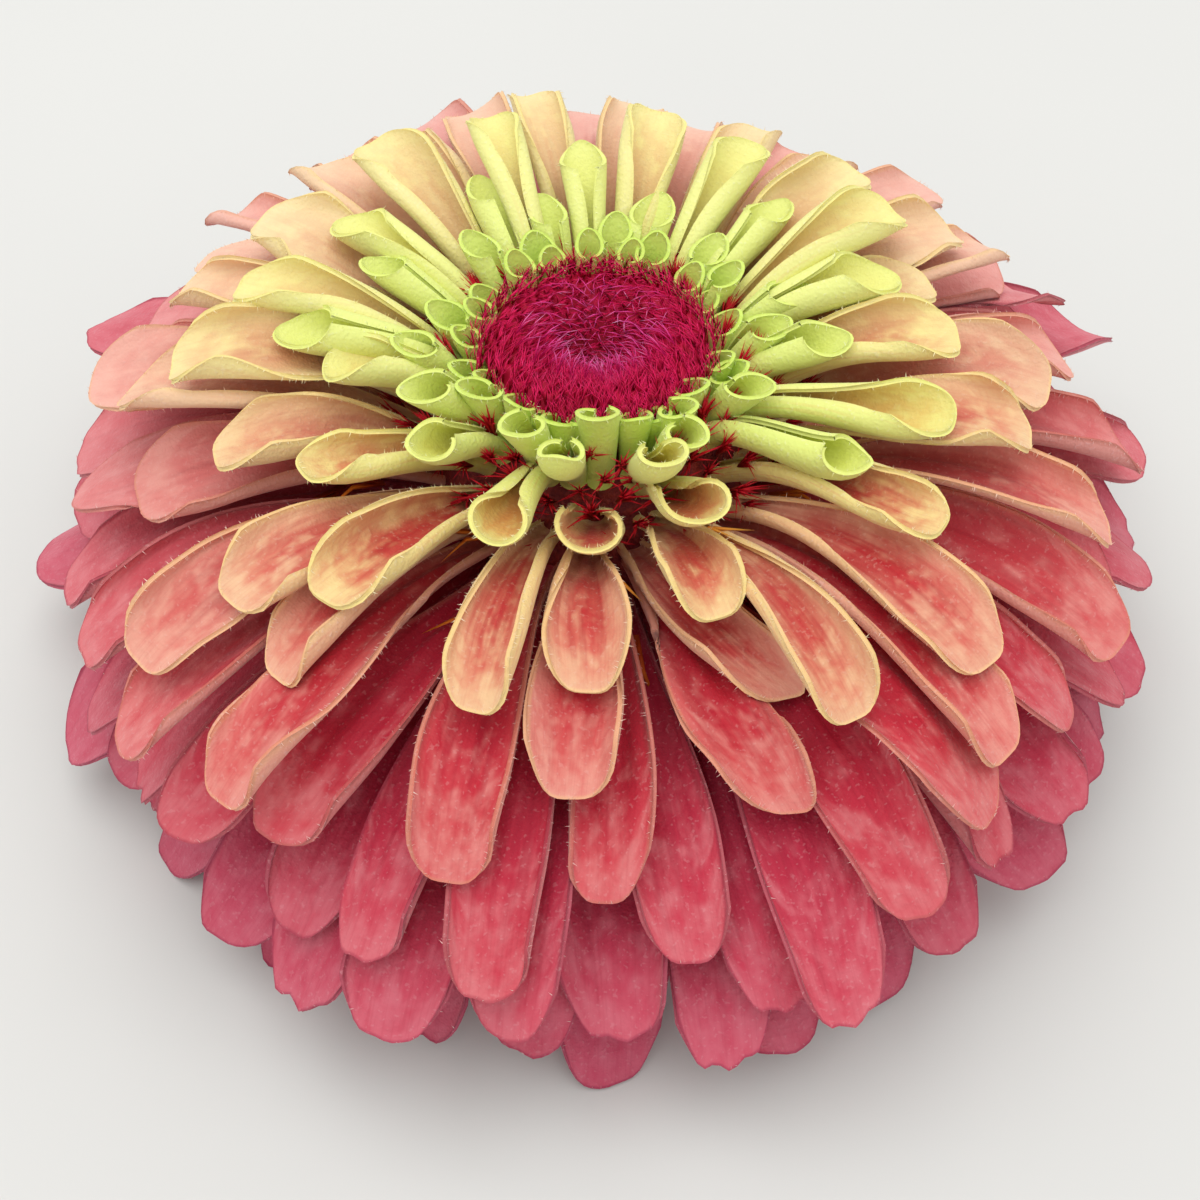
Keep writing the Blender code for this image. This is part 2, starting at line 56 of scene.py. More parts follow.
# One measure of the florets per row, read at the floret numbers in "station"; 0 is the lowest ray.
floretMeasures = {
    "station": [0, 21, 55, 89, 115, 136, 149.5, 157, 170, 182, 195, 213],
    "tipReach": [0.917, 0.995, 1.0, 0.905, 0.799, 0.683, 0.575, 0.528, 0.402, 0.310, 0.244, 0.216],
    "tipHeight": [-8.5, -3.5, 2.0, 8.0, 13.3, 17.2, 19.3, 20.4, 21.2, 21.2, 20.7, 20.4],
    "backLift": [0.0, 0.5, 1.0, 1.5, 2.0, 2.0, 2.2, 2.3, 0.8, 0.4, 0.5, 0.6],
    "rootRadius": [8.3, 9.4, 10.2, 10.6, 10.3, 9.8, 9.2, 8.9, 8.9, 9.0, 8.2, 7.6],
    "rootHeight": [3.4, 4.4, 6.4, 8.7, 10.6, 12.0, 12.7, 15.3, 15.4, 15.4, 16.0, 16.6],
    "rise": [-5, 8, 20, 28, 36, 44, 48, 60, 74, 84, 88, 90],
    "fall": [-42, -38, -36, -38, -40, -34, -12, 0, 45, 64, 80, 88],
    "width": [8.0, 8.0, 7.8, 7.5, 7.0, 7.0, 7.2, 7.4, 7.0, 5.8, 4.9, 3.8],
    "claw": [0.24, 0.24, 0.24, 0.26, 0.32, 0.40, 0.44, 0.48, 0.52, 0.56, 0.60, 0.64],
    "tipRoll": [-5, 5, 18, 32, 44, 54, 74, 130, 320, 335, 335, 335],
    "rootRoll": [60, 60, 65, 75, 100, 140, 230, 310, 345, 345, 345, 345],
    "tipLip": [20, 34, 50, 64, 72, 72, 65, 50, 15, 10, 10, 10],
    "rootLip": [10, 25, 55, 85, 105, 120, 100, 50, 5, 0, 0, 0],
    "rollFrom": [0.05, 0.05, 0.08, 0.10, 0.15, 0.20, 0.25, 0.35, 0.50, 0.50, 0.50, 0.50],
    "rollTo": [0.50, 0.55, 0.60, 0.68, 0.80, 0.90, 0.97, 1.0, 1.0, 1.0, 1.0, 1.0],
    "rounding": [0.46, 0.48, 0.52, 0.56, 0.58, 0.58, 0.58, 0.56, 0.42, 0.40, 0.36, 0.30],
    "tipDip": [0.4, 0.2, 0.0, -0.3, -0.5, -0.5, -0.4, -0.2, 0.0, 0.0, 0.0, 0.0],
    "wave": [0.46, 0.46, 0.44, 0.42, 0.40, 0.36, 0.26, 0.12, 0.05, 0.03, 0.02, 0.02],
    "furrow": [0.13, 0.14, 0.15, 0.16, 0.14, 0.10, 0.06, 0.02, 0.0, 0.0, 0.0, 0.0],
    "sideReach": [0.0, 0.0, 0.0, 0.4, 1.2, 1.8, 2.2, 2.8, 2.2, 0.6, 0.0, 0.0],
    "frontPull": [0.0, 0.0, 0.0, 0.0, 0.0, 0.0, 0.6, 1.6, 2.2, 2.2, 0.9, 0.2],
    "frontLift": [0.0, 0.0, 0.0, 0.0, 0.0, 0.0, 0.8, 2.0, 2.2, 1.6, 1.0, 0.4],
    "thickness": [0.28, 0.28, 0.28, 0.28, 0.28, 0.30, 0.32, 0.32, 0.30, 0.28, 0.26, 0.24],
}

# Florets that stand apart from the rule, as a turn in degrees and a reach and a lift in mm.
floretNudges = {
    5: (3, 0, 0), 13: (-2, -1.5, 0), 21: (7, -3.5, 1), 24: (2, 0, 0), 29: (1, -1.5, 0),
    31: (-9, -1.5, 0), 36: (2, -1, 0), 39: (-3, 0, 0), 41: (2, 0, 0), 42: (0, -2.5, 0),
    46: (-3, 4.5, 1.5), 47: (-3, 0, 0), 50: (3, -1, 0), 53: (4, 3.5, 2), 54: (-3, 0, 0),
    55: (5, -3, 0.5), 57: (1, -1.5, 0), 60: (-4, 0, 0), 63: (-1, -2.5, 0), 65: (-6, 1.5, 0),
    68: (4, 0.5, 0), 73: (-2, -1.5, 0), 76: (4, 0, 0), 81: (1, 0, -1), 86: (6, 3.5, 0),
    89: (3, -1.5, 1), 92: (0, 0, 0), 96: (1, 1, 0), 99: (2, 1, 0), 102: (2, 0.5, 0),
    103: (-2, 2, 1), 104: (-3, 3, 0), 105: (-4, -1, 0), 107: (-1, -1.5, 0), 109: (3, -1.5, 0),
    110: (4, 3.5, -0.5), 112: (-2, 4, 0), 115: (5, -2.5, 0), 117: (-8, 0.5, 0), 118: (4, 1.5, 0),
    120: (-14, -6.5, 0), 123: (-14, -2, 0), 124: (5, 1, 0.5), 125: (-11, 2.5, 0), 126: (-4, 0, 0),
    128: (-9, -4, 1.5), 131: (0, -1.5, 0), 132: (0, -1.5, -0.5), 133: (-10, 2.5, 0),
    134: (-4, -0.5, 0), 135: (-4, -1.5, 0), 139: (-4, -1, 0), 141: (1, -2.5, 0.5), 142: (4, -1, 0),
    143: (1, -4, 0), 145: (0, 0.5, 0.5), 146: (4, 0, 0), 147: (-2, 1.5, 0), 149: (1, -5.5, 0),
    151: (8, -1, 0), 154: (-9, -2.5, 0.5), 155: (8, 0.5, 0), 156: (0, 0, 0), 157: (1, 0.5, 0),
    159: (4, 1, 0), 160: (-4, -5.5, 0), 162: (5, -3, 1.5), 163: (4, 0.5, 0), 164: (10, 0.5, 0),
    165: (-3, -2.5, 0), 167: (10, 2.5, -0.5), 168: (6, 0.5, 0), 172: (10, -1.5, 0), 173: (5, -2, 0),
    175: (5, 0, 0), 176: (3, 1, 0),
}
floretSways = {107: 5.5, 120: 7.0}  # how far a tip bends aside, in mm
floretFolds = {46: 130, 53: 90}  # how much more a blade is rolled, in degrees

# Florets between whose numbers the blades take a form on and, where four are given, lose it again.
forms = {
    "inner": (100, 160),
    "quilled": (146, 166),
    "slantCut": (158, 168),
    "evenTipped": (60, 110),
    "bearded": (70, 115),
    "loose": (140, 158),
    "cupped": (140, 150, 168, 176),
    "narrowInFront": (20, 60, 158, 170),
    "narrowBehind": (40, 80, 160, 174),
    "furledBehind": (130, 146, 157, 167),
}

# How much each form changes a blade: angles in degrees, the rest as shares.
formSizes = {"cupFall": 58, "cupRoll": 75, "furl": 60, "narrowInFront": 0.20, "narrowBehind": 0.18}

# How far chance moves a floret: angles in degrees, the height in mm, the rest as shares of a size.
looseness = {
    "turn": 2.2, "reach": 0.035, "budReach": 0.015, "height": 0.35, "fall": 4, "width": 0.06,
    "roll": 14, "uneven": 0.35, "unevenQuill": 0.10, "lip": 0.8, "lipWave": 0.35, "twist": 14,
    "sway": 0.05, "notch": 0.005, "point": 0.006,
}


class Wire:
    # A node's socket that takes part in plain arithmetic.
    def __init__(self, bench, socket):
        self.bench = bench
        self.socket = socket

    def out(self, name):
        return Wire(self.bench, self.socket.node.outputs[name])

    def __add__(self, other):
        return self.bench.maths("ADD", self, other)

    def __radd__(self, other):
        return self.bench.maths("ADD", other, self)

    def __sub__(self, other):
        return self.bench.maths("SUBTRACT", self, other)

    def __rsub__(self, other):
        return self.bench.maths("SUBTRACT", other, self)

    def __mul__(self, other):
        return self.bench.maths("MULTIPLY", self, other)

    def __truediv__(self, other):
        return self.bench.maths("DIVIDE", self, other)

    def __pow__(self, other):
        return self.bench.maths("POWER", self, other)


class Bench:
    # A node tree, with one way of adding any node to it.
    def __init__(self, tree):
        self.tree = tree

    def make(self, kind, settings=None, values=None, output=0):
        node = self.tree.nodes.new(kind)
        for key, setting in (settings or {}).items():
            if key == "stops":
                fillRamp(node.color_ramp, setting)
            elif key == "points":
                fillCurve(node.mapping, setting)
            else:
                setattr(node, key, setting)
        for key, value in (values or {}).items():
            self.plug(node.inputs[key], value)
        return Wire(self, node.outputs[output]) if len(node.outputs) else node

    def plug(self, socket, value):
        if isinstance(value, Wire):
            self.tree.links.new(value.socket, socket)
        else:
            socket.default_value = value

    def maths(self, operation, first, second):
        return self.make("ShaderNodeMath", {"operation": operation}, {0: first, 1: second})

    def greater(self, first, second):
        return self.maths("MAXIMUM", first, second)

    def step(self, value, low, high):
        # A smooth change from 0 to 1 while value goes from low to high.
        return self.make("ShaderNodeMapRange", {"interpolation_type": "SMOOTHSTEP"},
                         {0: value, 1: low, 2: high})

    def mix(self, first, second, factor, blend="MIX"):
        settings = {"data_type": "RGBA", "blend_type": blend, "clamp_factor": True}
        return self.make("ShaderNodeMix", settings, {0: factor, 6: first, 7: second}, 2)

    def ramp(self, value, stops):
        return self.make("ShaderNodeValToRGB", {"stops": stops}, {0: value})

    def noise(self, vector, scale, detail=2.0, roughness=0.5):
        return self.make("ShaderNodeTexNoise", {"noise_dimensions": "3D"},
                         {"Vector": vector, "Scale": scale, "Detail": detail, "Roughness": roughness})

    def attribute(self, name):
        # The parts of a vector attribute of the mesh.
        vector = self.make("ShaderNodeAttribute", {"attribute_name": name}, {}, "Vector")
        parts = self.make("ShaderNodeSeparateXYZ", {}, {0: vector}, "X")
        return parts, parts.out("Y"), parts.out("Z")

    def reading(self, name):
        # A number attribute of the mesh.
        return self.make("ShaderNodeAttribute", {"attribute_name": name}, {}, "Fac")

    def spot(self):
        # Where a point lies on its own piece.
        return self.make("ShaderNodeTexCoord", {}, {}, "Object")

    def vector(self, x, y, z):
        return self.make("ShaderNodeCombineXYZ", {}, {0: x, 1: y, 2: z})

    def vectorSum(self, first, second):
        return self.make("ShaderNodeVectorMath", {"operation": "ADD"}, {0: first, 1: second})

    def curve(self, value, points):
        return self.make("ShaderNodeFloatCurve", {"points": points}, {"Value": value})

    def chance(self, low, high, seed):
        # A number drawn for each point.
        return self.make("FunctionNodeRandomValue", {"data_type": "FLOAT"},
                         {2: low, 3: high, "Seed": seed}, 1)

    def chanceVector(self, seed):
        # A vector drawn for each point, with parts from -1 to 1.
        return self.make("FunctionNodeRandomValue", {"data_type": "FLOAT_VECTOR"},
                         {"Min": (-1, -1, -1), "Max": (1, 1, 1), "Seed": seed})


def fillRamp(ramp, stops):
    while len(ramp.elements) < len(stops):
        ramp.elements.new(0.5)
    for element, (place, colour) in zip(ramp.elements, stops):
        element.position = place
        element.color = colour


def fillCurve(mapping, points):
    curve = mapping.curves[0]
    while len(curve.points) < len(points):
        curve.points.new(0.5, 0.5)
    for point, place in zip(curve.points, points):
        point.location = place
    mapping.update()


def tone(red, green, blue):
    # A colour given in screen values 0 to 255.
    parts = [value / 255 for value in (red, green, blue)]
    parts = [v / 12.92 if v <= 0.04045 else ((v + 0.055) / 1.055) ** 2.4 for v in parts]
    return (*parts, 1.0)


def tierStops(rows):
    # Colours at floret numbers, as the stops of a ramp.
    return [(number / bloom["lastTier"], tone(*colour)) for number, colour in rows]


def newMaterial(name):
    material = bpy.data.materials.new(name)
    material.use_nodes = True
    bench = Bench(material.node_tree)
    skin = material.node_tree.nodes["Principled BSDF"]
    return material, bench, skin


def finishSkin(bench, skin, colour, roughness, height=None, depth=0.0, specular=0.5):
    bench.plug(skin.inputs["Base Color"], colour)
    bench.plug(skin.inputs["Roughness"], roughness)
    bench.plug(skin.inputs["Specular IOR Level"], specular)
    if height is not None:
        bump = bench.make("ShaderNodeBump", {}, {"Height": height, "Distance": depth, "Strength": 1.0})
        bench.plug(skin.inputs["Normal"], bump)


def newTree(name, inputs):
    # The inputs are given by name, with the kind of each: Float, Int, Vector, Object or Material.
    tree = bpy.data.node_groups.new(name, "GeometryNodeTree")
    for label, kind in {"Geometry": "Geometry", **inputs}.items():
        tree.interface.new_socket(label, in_out="INPUT", socket_type="NodeSocket" + kind)
    tree.interface.new_socket("Geometry", in_out="OUTPUT", socket_type="NodeSocketGeometry")
    bench = Bench(tree)
    return tree, bench, bench.make("NodeGroupInput")


def closeTree(bench, geometry, material):
    geometry = bench.make("GeometryNodeRealizeInstances", {}, {"Geometry": geometry})
    geometry = bench.make("GeometryNodeSetMaterial", {}, {"Geometry": geometry, "Material": material})
    bench.make("NodeGroupOutput", {}, {"Geometry": geometry})


def named(bench, name):
    return bench.make("GeometryNodeInputNamedAttribute", {"data_type": "FLOAT"}, {"Name": name}, "Attribute")


def runTree(item, tree, settings):
    # Sets the named inputs, then turns what the tree makes into a plain mesh.
    modifier = item.modifiers.new(tree.name, "NODES")
    modifier.node_group = tree
    sockets = {s.name: s.identifier for s in tree.interface.items_tree if s.in_out == "INPUT"}
    for label, value in settings.items():
        modifier[sockets[label]] = value
    graph = bpy.context.evaluated_depsgraph_get()
    mesh = bpy.data.meshes.new_from_object(item.evaluated_get(graph))
    item.modifiers.clear()
    item.data = mesh
    mesh.name = item.name
    return item


def newObject(name, data):
    item = bpy.data.objects.new(name, data)
    bpy.context.scene.collection.objects.link(item)
    return item


def smooth(item):
    item.data.shade_smooth()
    return item


def goldenSpiral():
    # Turns each floret, drawn in one upright plane, to its own place on the spiral.
    tree, bench, given = newTree("goldenSpiral", {
        "First turn": "Float", "Golden angle": "Float", "Centre": "Vector", "Material": "Material"})
    turn = given.out("First turn") - named(bench, "spiralStep") * given.out("Golden angle")
    place = bench.make("ShaderNodeVectorRotate", {"rotation_type": "Z_AXIS"},
                       {"Vector": bench.make("GeometryNodeInputPosition"), "Angle": turn * math.radians(1)})
    place = bench.vectorSum(place, given.out("Centre"))
    turned = bench.make("GeometryNodeSetPosition", {}, {"Geometry": given.out("Geometry"), "Position": place})
    closeTree(bench, turned, given.out("Material"))
    return tree


def fringeHairs():
    # Fine tapering hairs that stand out from the faces that the attribute "hairy" marks.
    tree, bench, given = newTree("fringeHairs", {
        "Hairs per mm2": "Float", "Hair length": "Float", "Hair width": "Float", "Spread": "Float",
        "Seed": "Int", "Material": "Material"})
    seed = given.out("Seed")
    density = named(bench, "hairy") * given.out("Hairs per mm2") * mm ** -2
    points = bench.make("GeometryNodeDistributePointsOnFaces", {"distribute_method": "RANDOM"},
                        {"Mesh": given.out("Geometry"), "Density": density, "Seed": seed}, "Points")
    stray = bench.make("ShaderNodeVectorMath", {"operation": "SCALE"},
                       {0: bench.chanceVector(seed), "Scale": given.out("Spread")})
    facing = bench.make("FunctionNodeAlignRotationToVector", {"axis": "Z"},
                        {"Vector": bench.vectorSum(points.out("Normal"), stray)})
    hair = bench.make("GeometryNodeMeshCone", {"fill_type": "NGON"},
                      {"Vertices": 3, "Side Segments": 1, "Radius Top": 0.0,
                       "Radius Bottom": given.out("Hair width") * 0.5, "Depth": given.out("Hair length")})
    shortest, longest = 0.55, 1.25
    hairs = bench.make("GeometryNodeInstanceOnPoints", {},
                       {"Points": points, "Instance": hair, "Rotation": facing,
                        "Scale": bench.chance(shortest, longest, seed + 7)})
    closeTree(bench, hairs, given.out("Material"))
    return tree


def measure(row, number):
    return float(np.interp(number, floretMeasures["station"], floretMeasures[row]))


def ease(value):
    value = np.clip(value, 0.0, 1.0)
    return value * value * (3.0 - 2.0 * value)


def form(name, number):
    # The share of a form that a floret has, from 0 to 1.
    start, full, *fading = forms[name]
    share = ease((number - start) / (full - start))
    if fading:
        share *= 1 - ease((number - fading[0]) / (fading[1] - fading[0]))
    return float(share)


def drawChances(number):
    return np.random.RandomState(500 + number).normal(size=12)


def looseTurn(number, chance):
    # How far a floret stands off the spiral, in degrees.
    return floretNudges[number][0] if number in floretNudges else looseness["turn"] * chance[0]


def floretTurn(number, chance):
    return math.radians(bloom["firstTurn"] + looseTurn(number, chance) - number * bloom["goldenAngle"])


def floretTip(number, chance, turn):
    # How far out and how high a floret's tip stands, in mm.
    front = max(0.0, -math.sin(turn))
    loose = looseness["reach" if number < bloom["firstBud"] else "budReach"]
    reach = bloom["radius"] * measure("tipReach", number) * (1 + loose * chance[1])
    reach += measure("sideReach", number) * math.cos(turn) ** 2 - measure("frontPull", number) * front
    if number < bloom["lowFlorets"]:
        height = measure("tipHeight", 0)
    else:
        height = measure("tipHeight", number) + measure("backLift", number) * math.sin(turn)
        height += measure("frontLift", number) * front + looseness["height"] * chance[2]
    _, moreReach, moreHeight = floretNudges.get(number, (0, 0, 0))
    return reach + moreReach, height + moreHeight


def archLine(root, tip, rise, fall, along):
    # Points and directions of a floret's middle line, in the upright plane that it grows in.
    rootArm, tipArm = 0.38, 0.34  # how far each end's direction is followed, as a share of the chord
    chord = math.dist(root, tip)
    first, last = np.array(root), np.array(tip)
    second = first + rootArm * chord * np.array([math.cos(rise), math.sin(rise)])
    third = last - tipArm * chord * np.array([math.cos(fall), math.sin(fall)])
    s = along[..., None]
    r = 1 - s
    point = r**3 * first + 3 * r**2 * s * second + 3 * r * s**2 * third + s**3 * last
    slope = r**2 * (second - first) + 2 * r * s * (third - second) + s**2 * (last - third)
    slope /= np.linalg.norm(slope, axis=-1)[..., None]
    return point, slope


def rolledSection(across, halfWidth, roll, power, lip):
    # Sideways and upward offsets across a blade whose sides roll up by an angle, with a lip on each margin.
    steps = (np.arange(40) + 0.5) / 40
    reach = np.abs(across)[..., None] * steps
    bend = (roll / 2)[..., None] * reach ** power[..., None] + lip[..., None] * ease((reach - 0.58) / 0.42)
    side = np.cos(bend).mean(-1) * halfWidth * across
    lift = np.sin(bend).mean(-1) * halfWidth * np.abs(across)
    return side, lift


def tipCut(number, across, width, chord, chance, turn):
    # How much of a blade's length is missing at each place across it, which rounds its tip.
    rounding = measure("rounding", number) * width / (chord * 1.08)
    domed = 1 - np.cos(math.pi / 2 * np.abs(across) ** 1.95)
    slanted = (1 - np.cos(math.pi * across)) / 2 * (1.05 + 0.10 * math.sin(turn))
    slant = form("slantCut", number)
    cut = rounding * (domed * (1 - slant) + slanted * slant)
    notch = looseness["notch"] * chance[5] * np.cos(3.1 * math.pi * across + chance[6]) * (1 - across**4)
    point = looseness["point"] * abs(chance[11]) * np.abs(across - 0.25 * math.tanh(chance[10]))
    return cut + (notch + point) * (1 - form("evenTipped", number))


def floretSlopes(number, chance, turn, cupped):
    # The angles at which a middle line leaves its root and comes to its tip.
    lift = measure("backLift", number) * math.sin(turn)
    rise = measure("rise", number) + 3.2 * lift
    fall = measure("fall", number) + 2.0 * lift + looseness["fall"] * chance[3]
    return math.radians(rise), math.radians(fall + formSizes["cupFall"] * cupped)


def floretWidth(number, chance, front, behind):
    # A blade's greatest width, which is less at the front and at the back of the head.
    narrowed = formSizes["narrowInFront"] * front * form("narrowInFront", number)
    narrowed += formSizes["narrowBehind"] * behind * form("narrowBehind", number)
    return measure("width", number) * (1 + looseness["width"] * chance[4]) * (1 - narrowed)


def floretHalf(number, width, s):
    # Half the width along a blade: a narrow claw at the root, widest past the middle, less at the tip.
    claw, quilled = measure("claw", number), form("quilled", number)
    half = width / 2 * (claw + (1 - claw) * ease(s / (0.76 + 0.12 * quilled)))
    return half * (1 - (0.15 - 0.10 * quilled) * ease((s - 0.68) / 0.32))


def floretRoll(number, across, s, chance, behind, cupped):
    # How far each side of a blade rolls up and the lip on its margin bends, in radians.
    quilled = form("quilled", number)
    start, end = measure("rollFrom", number), measure("rollTo", number)
    opened = ease((s - start) / (end - start))
    tipRoll = measure("tipRoll", number) + looseness["roll"] * chance[7] * (1 - 0.6 * form("inner", number))
    tipRoll += formSizes["cupRoll"] * cupped + formSizes["furl"] * behind * form("furledBehind", number)
    roll = np.radians(measure("rootRoll", number) * (1 - opened) + tipRoll * opened)
    uneven = looseness["uneven"] * math.tanh(chance[8]) * (1 - quilled)
    uneven += looseness["unevenQuill"] * np.sign(chance[8]) * quilled
    lip = np.radians(measure("rootLip", number) * (1 - opened) + measure("tipLip", number) * opened)
    unevenLip = looseness["lip"] * math.tanh(chance[2]) * np.sign(across)
    unevenLip = unevenLip + looseness["lipWave"] * np.sin(5 * s + 3 * chance[5])
    fold = math.radians(floretFolds.get(number, 0.0)) * opened
    return roll * (1 + uneven * np.sign(across)), np.minimum(lip * (1 + unevenLip), 2.5), fold


def floretRelief(number, across, along, s, chance):
    # Ripples, dents, furrows and a bent tip, as a height over the smooth blade, in mm.
    ripple = np.sin(5.5 * s + 2.2 * np.sign(across) + 3 * chance[9]) * np.abs(across) ** 2.5 * ease(s / 0.4)
    dent = np.sin(4.0 * s + 1.7 * across + 3 * chance[6]) * (1 - across**2) * ease(s / 0.4)
    furrow = np.cos(3 * math.pi * across + 0.6 * chance[9]) * (1 - across**4)
    furrow = furrow * ease(s / 0.3) * (1 - ease((s - 0.6) / 0.4))
    relief = measure("wave", number) * (1.1 * ripple + 0.5 * dent) + measure("furrow", number) * furrow
    return relief - measure("tipDip", number) * ease((along - 0.80) / 0.20) ** 2


def floretSurface(number, across, along, rolled=1.0):
    # The upper face of one floret, in mm, in the plane that it grows in: outward, sideways, up.
    # "rolled" is the share of its roll that each cross-section keeps.
    chance = drawChances(number)
    turn = floretTurn(number, chance)
    inner, quilled = form("inner", number), form("quilled", number)
    front, behind = max(0.0, -math.sin(turn)), max(0.0, math.sin(turn))
    cupped = front * form("cupped", number)
    root = (measure("rootRadius", number), measure("rootHeight", number))
    tip = floretTip(number, chance, turn)
    chord = math.dist(root, tip)
    width = floretWidth(number, chance, front, behind)
    s = along * (1 - tipCut(number, across, width, chord, chance, turn))
    point, slope = archLine(root, tip, *floretSlopes(number, chance, turn, cupped), s)
    half = floretHalf(number, width, s)
    roll, lip, fold = floretRoll(number, across, s, chance, behind, cupped)
    tucked = 0.22 * quilled * (np.sign(across) == np.sign(chance[8]))
    side, up = rolledSection(across, half, roll * rolled + fold, 1.8 - 0.8 * inner + tucked, lip * rolled)
    up = up + floretRelief(number, across, along, s, chance)
    twist = math.radians(looseness["twist"] * chance[9] * (1 - 0.6 * inner)) * ease(s)
    side, up = side * np.cos(twist) - up * np.sin(twist), side * np.sin(twist) + up * np.cos(twist)
    side = side + (looseness["sway"] * chance[10] * chord + floretSways.get(number, 0.0)) * s**2
    points = np.stack([point[..., 0] - slope[..., 1] * up, side, point[..., 1] + slope[..., 0] * up], axis=-1)
    points[..., 2] = np.maximum(points[..., 2], bloom["lowest"])
    return points, half, chord


# How florets lie under the ones above them: a map of free height over the table, in mm.
resting = {
    "reach": 47.0,
    "cell": 0.35,
    "open": 99.0,
    "rings": 9,  # cells in the skirt round each floret
    "slope": 1.1,
    "gap": 0.1,
    "softness": 0.25,
    "unrolling": 0.75,
    "hardPress": 1.3,
}

blades = {
    "outer": {"numbers": range(0, bloom["firstMiddle"]), "columns": 16, "rows": 22},
    "middle": {"numbers": range(bloom["firstMiddle"], bloom["firstQuill"]), "columns": 18, "rows": 24},
    "quills": {"numbers": range(bloom["firstQuill"], bloom["firstBud"]), "columns": 30, "rows": 16},
    "buds": {"numbers": range(bloom["firstBud"], bloom["floretCount"]), "columns": 22, "rows": 9},
}
bladeSkin = {"marginCrowding": math.pi / 2 * 0.88, "tipCrowding": 1.15, "rim": 0.55, "clearance": 1.2}


def mapSpots(points, turn):
    # Where points of a floret's plane stand on the map.
    x = points[..., 0] * math.cos(turn) - points[..., 1] * math.sin(turn)
    y = points[..., 0] * math.sin(turn) + points[..., 1] * math.cos(turn)
    return (x + resting["reach"]) / resting["cell"], (y + resting["reach"]) / resting["cell"]


def freeHeight(ceiling, points, turn):
    # The free height at each point, read between the cells of the map.
    column, row = mapSpots(points, turn)
    left, low = np.floor(column).astype(int), np.floor(row).astype(int)
    x, y = column - left, row - low
    near = ceiling[left, low] * (1 - x) + ceiling[left + 1, low] * x
    far = ceiling[left, low + 1] * (1 - x) + ceiling[left + 1, low + 1] * x
    return near * (1 - y) + far * y


def refineGrid(points, times):
    # Puts more points between those of a grid.
    for axis in (0, 1):
        last = points.shape[axis] - 1
        steps = np.linspace(0, last, times * last + 1)
        low = np.minimum(steps.astype(int), last - 1)
        share = (steps - low)[:, None, None] if axis == 0 else (steps - low)[None, :, None]
        points = np.take(points, low, axis) * (1 - share) + np.take(points, low + 1, axis) * share
    return points


def lowerCeiling(ceiling, points, turn, thickness):
    # Takes a floret's underside into the map, with a sloping skirt round it.
    fine = refineGrid(points, 3)
    column, row = (np.rint(spots).astype(int) for spots in mapSpots(fine, turn))
    rings = resting["rings"]
    left, low = column.min() - rings, row.min() - rings
    shape = (column.max() - left + rings + 1, row.max() - low + rings + 1)
    patch = np.full(shape, resting["open"])
    np.minimum.at(patch, (column - left, row - low), fine[..., 2] - thickness)
    for _ in range(rings):
        wide = np.pad(patch, 1, constant_values=resting["open"])
        for dx, dy in ((0, 1), (2, 1), (1, 0), (1, 2), (0, 0), (0, 2), (2, 0), (2, 2)):
            climb = resting["slope"] * resting["cell"] * math.hypot(dx - 1, dy - 1)
            patch = np.minimum(patch, wide[dx:dx + shape[0], dy:dy + shape[1]] + climb)
    region = ceiling[left:left + shape[0], low:low + shape[1]]
    np.minimum(region, patch, out=region)


def neighbours(grid, axis):
    # The grid shifted by one place, either way.
    padded = np.pad(grid, [(1, 1) if axis == side else (0, 0) for side in (0, 1)], mode="edge")
    count = grid.shape[axis]
    return np.take(padded, range(count), axis), np.take(padded, range(2, count + 2), axis)


def keptRoll(pressed):
    # A cross-section that is pressed hard unrolls, and its neighbours with it.
    kept = 1 - resting["unrolling"] * ease(pressed.max(axis=1, keepdims=True) / resting["hardPress"])
    for _ in range(2):
        before, after = neighbours(kept, 0)
        kept = np.minimum(kept, np.minimum(before, after) + 0.04)
    for _ in range(4):
        before, after = neighbours(kept, 0)
        kept = (before + 2 * kept + after) / 4
    return kept


def pressOn(ceiling, upper, turn):
    # How far each point has to sink to lie under the florets above it.
    over = (upper[..., 2] - freeHeight(ceiling, upper, turn) + resting["gap"]) / resting["softness"]
    return resting["softness"] * np.logaddexp(0.0, over)


def evenPress(pressed):
    # Spreads a press over the blade, so that no kink stands where a floret above it ends.
    eased = pressed
    for axis, share in ((0, 0.88), (0, 0.88), (0, 0.88), (1, 0.75), (1, 0.75)):
        before, after = neighbours(eased, axis)
        eased = np.maximum(eased, share * np.maximum(before, after))
    for axis in (0, 1, 0, 1):
        before, after = neighbours(eased, axis)
        eased = (before + 2 * eased + after) / 4
    return np.maximum(eased, pressed)


def crowd(across, angle):
    # Moves places on a line from -1 to 1 closer to its ends.
    return np.sin(across * angle) / math.sin(angle)


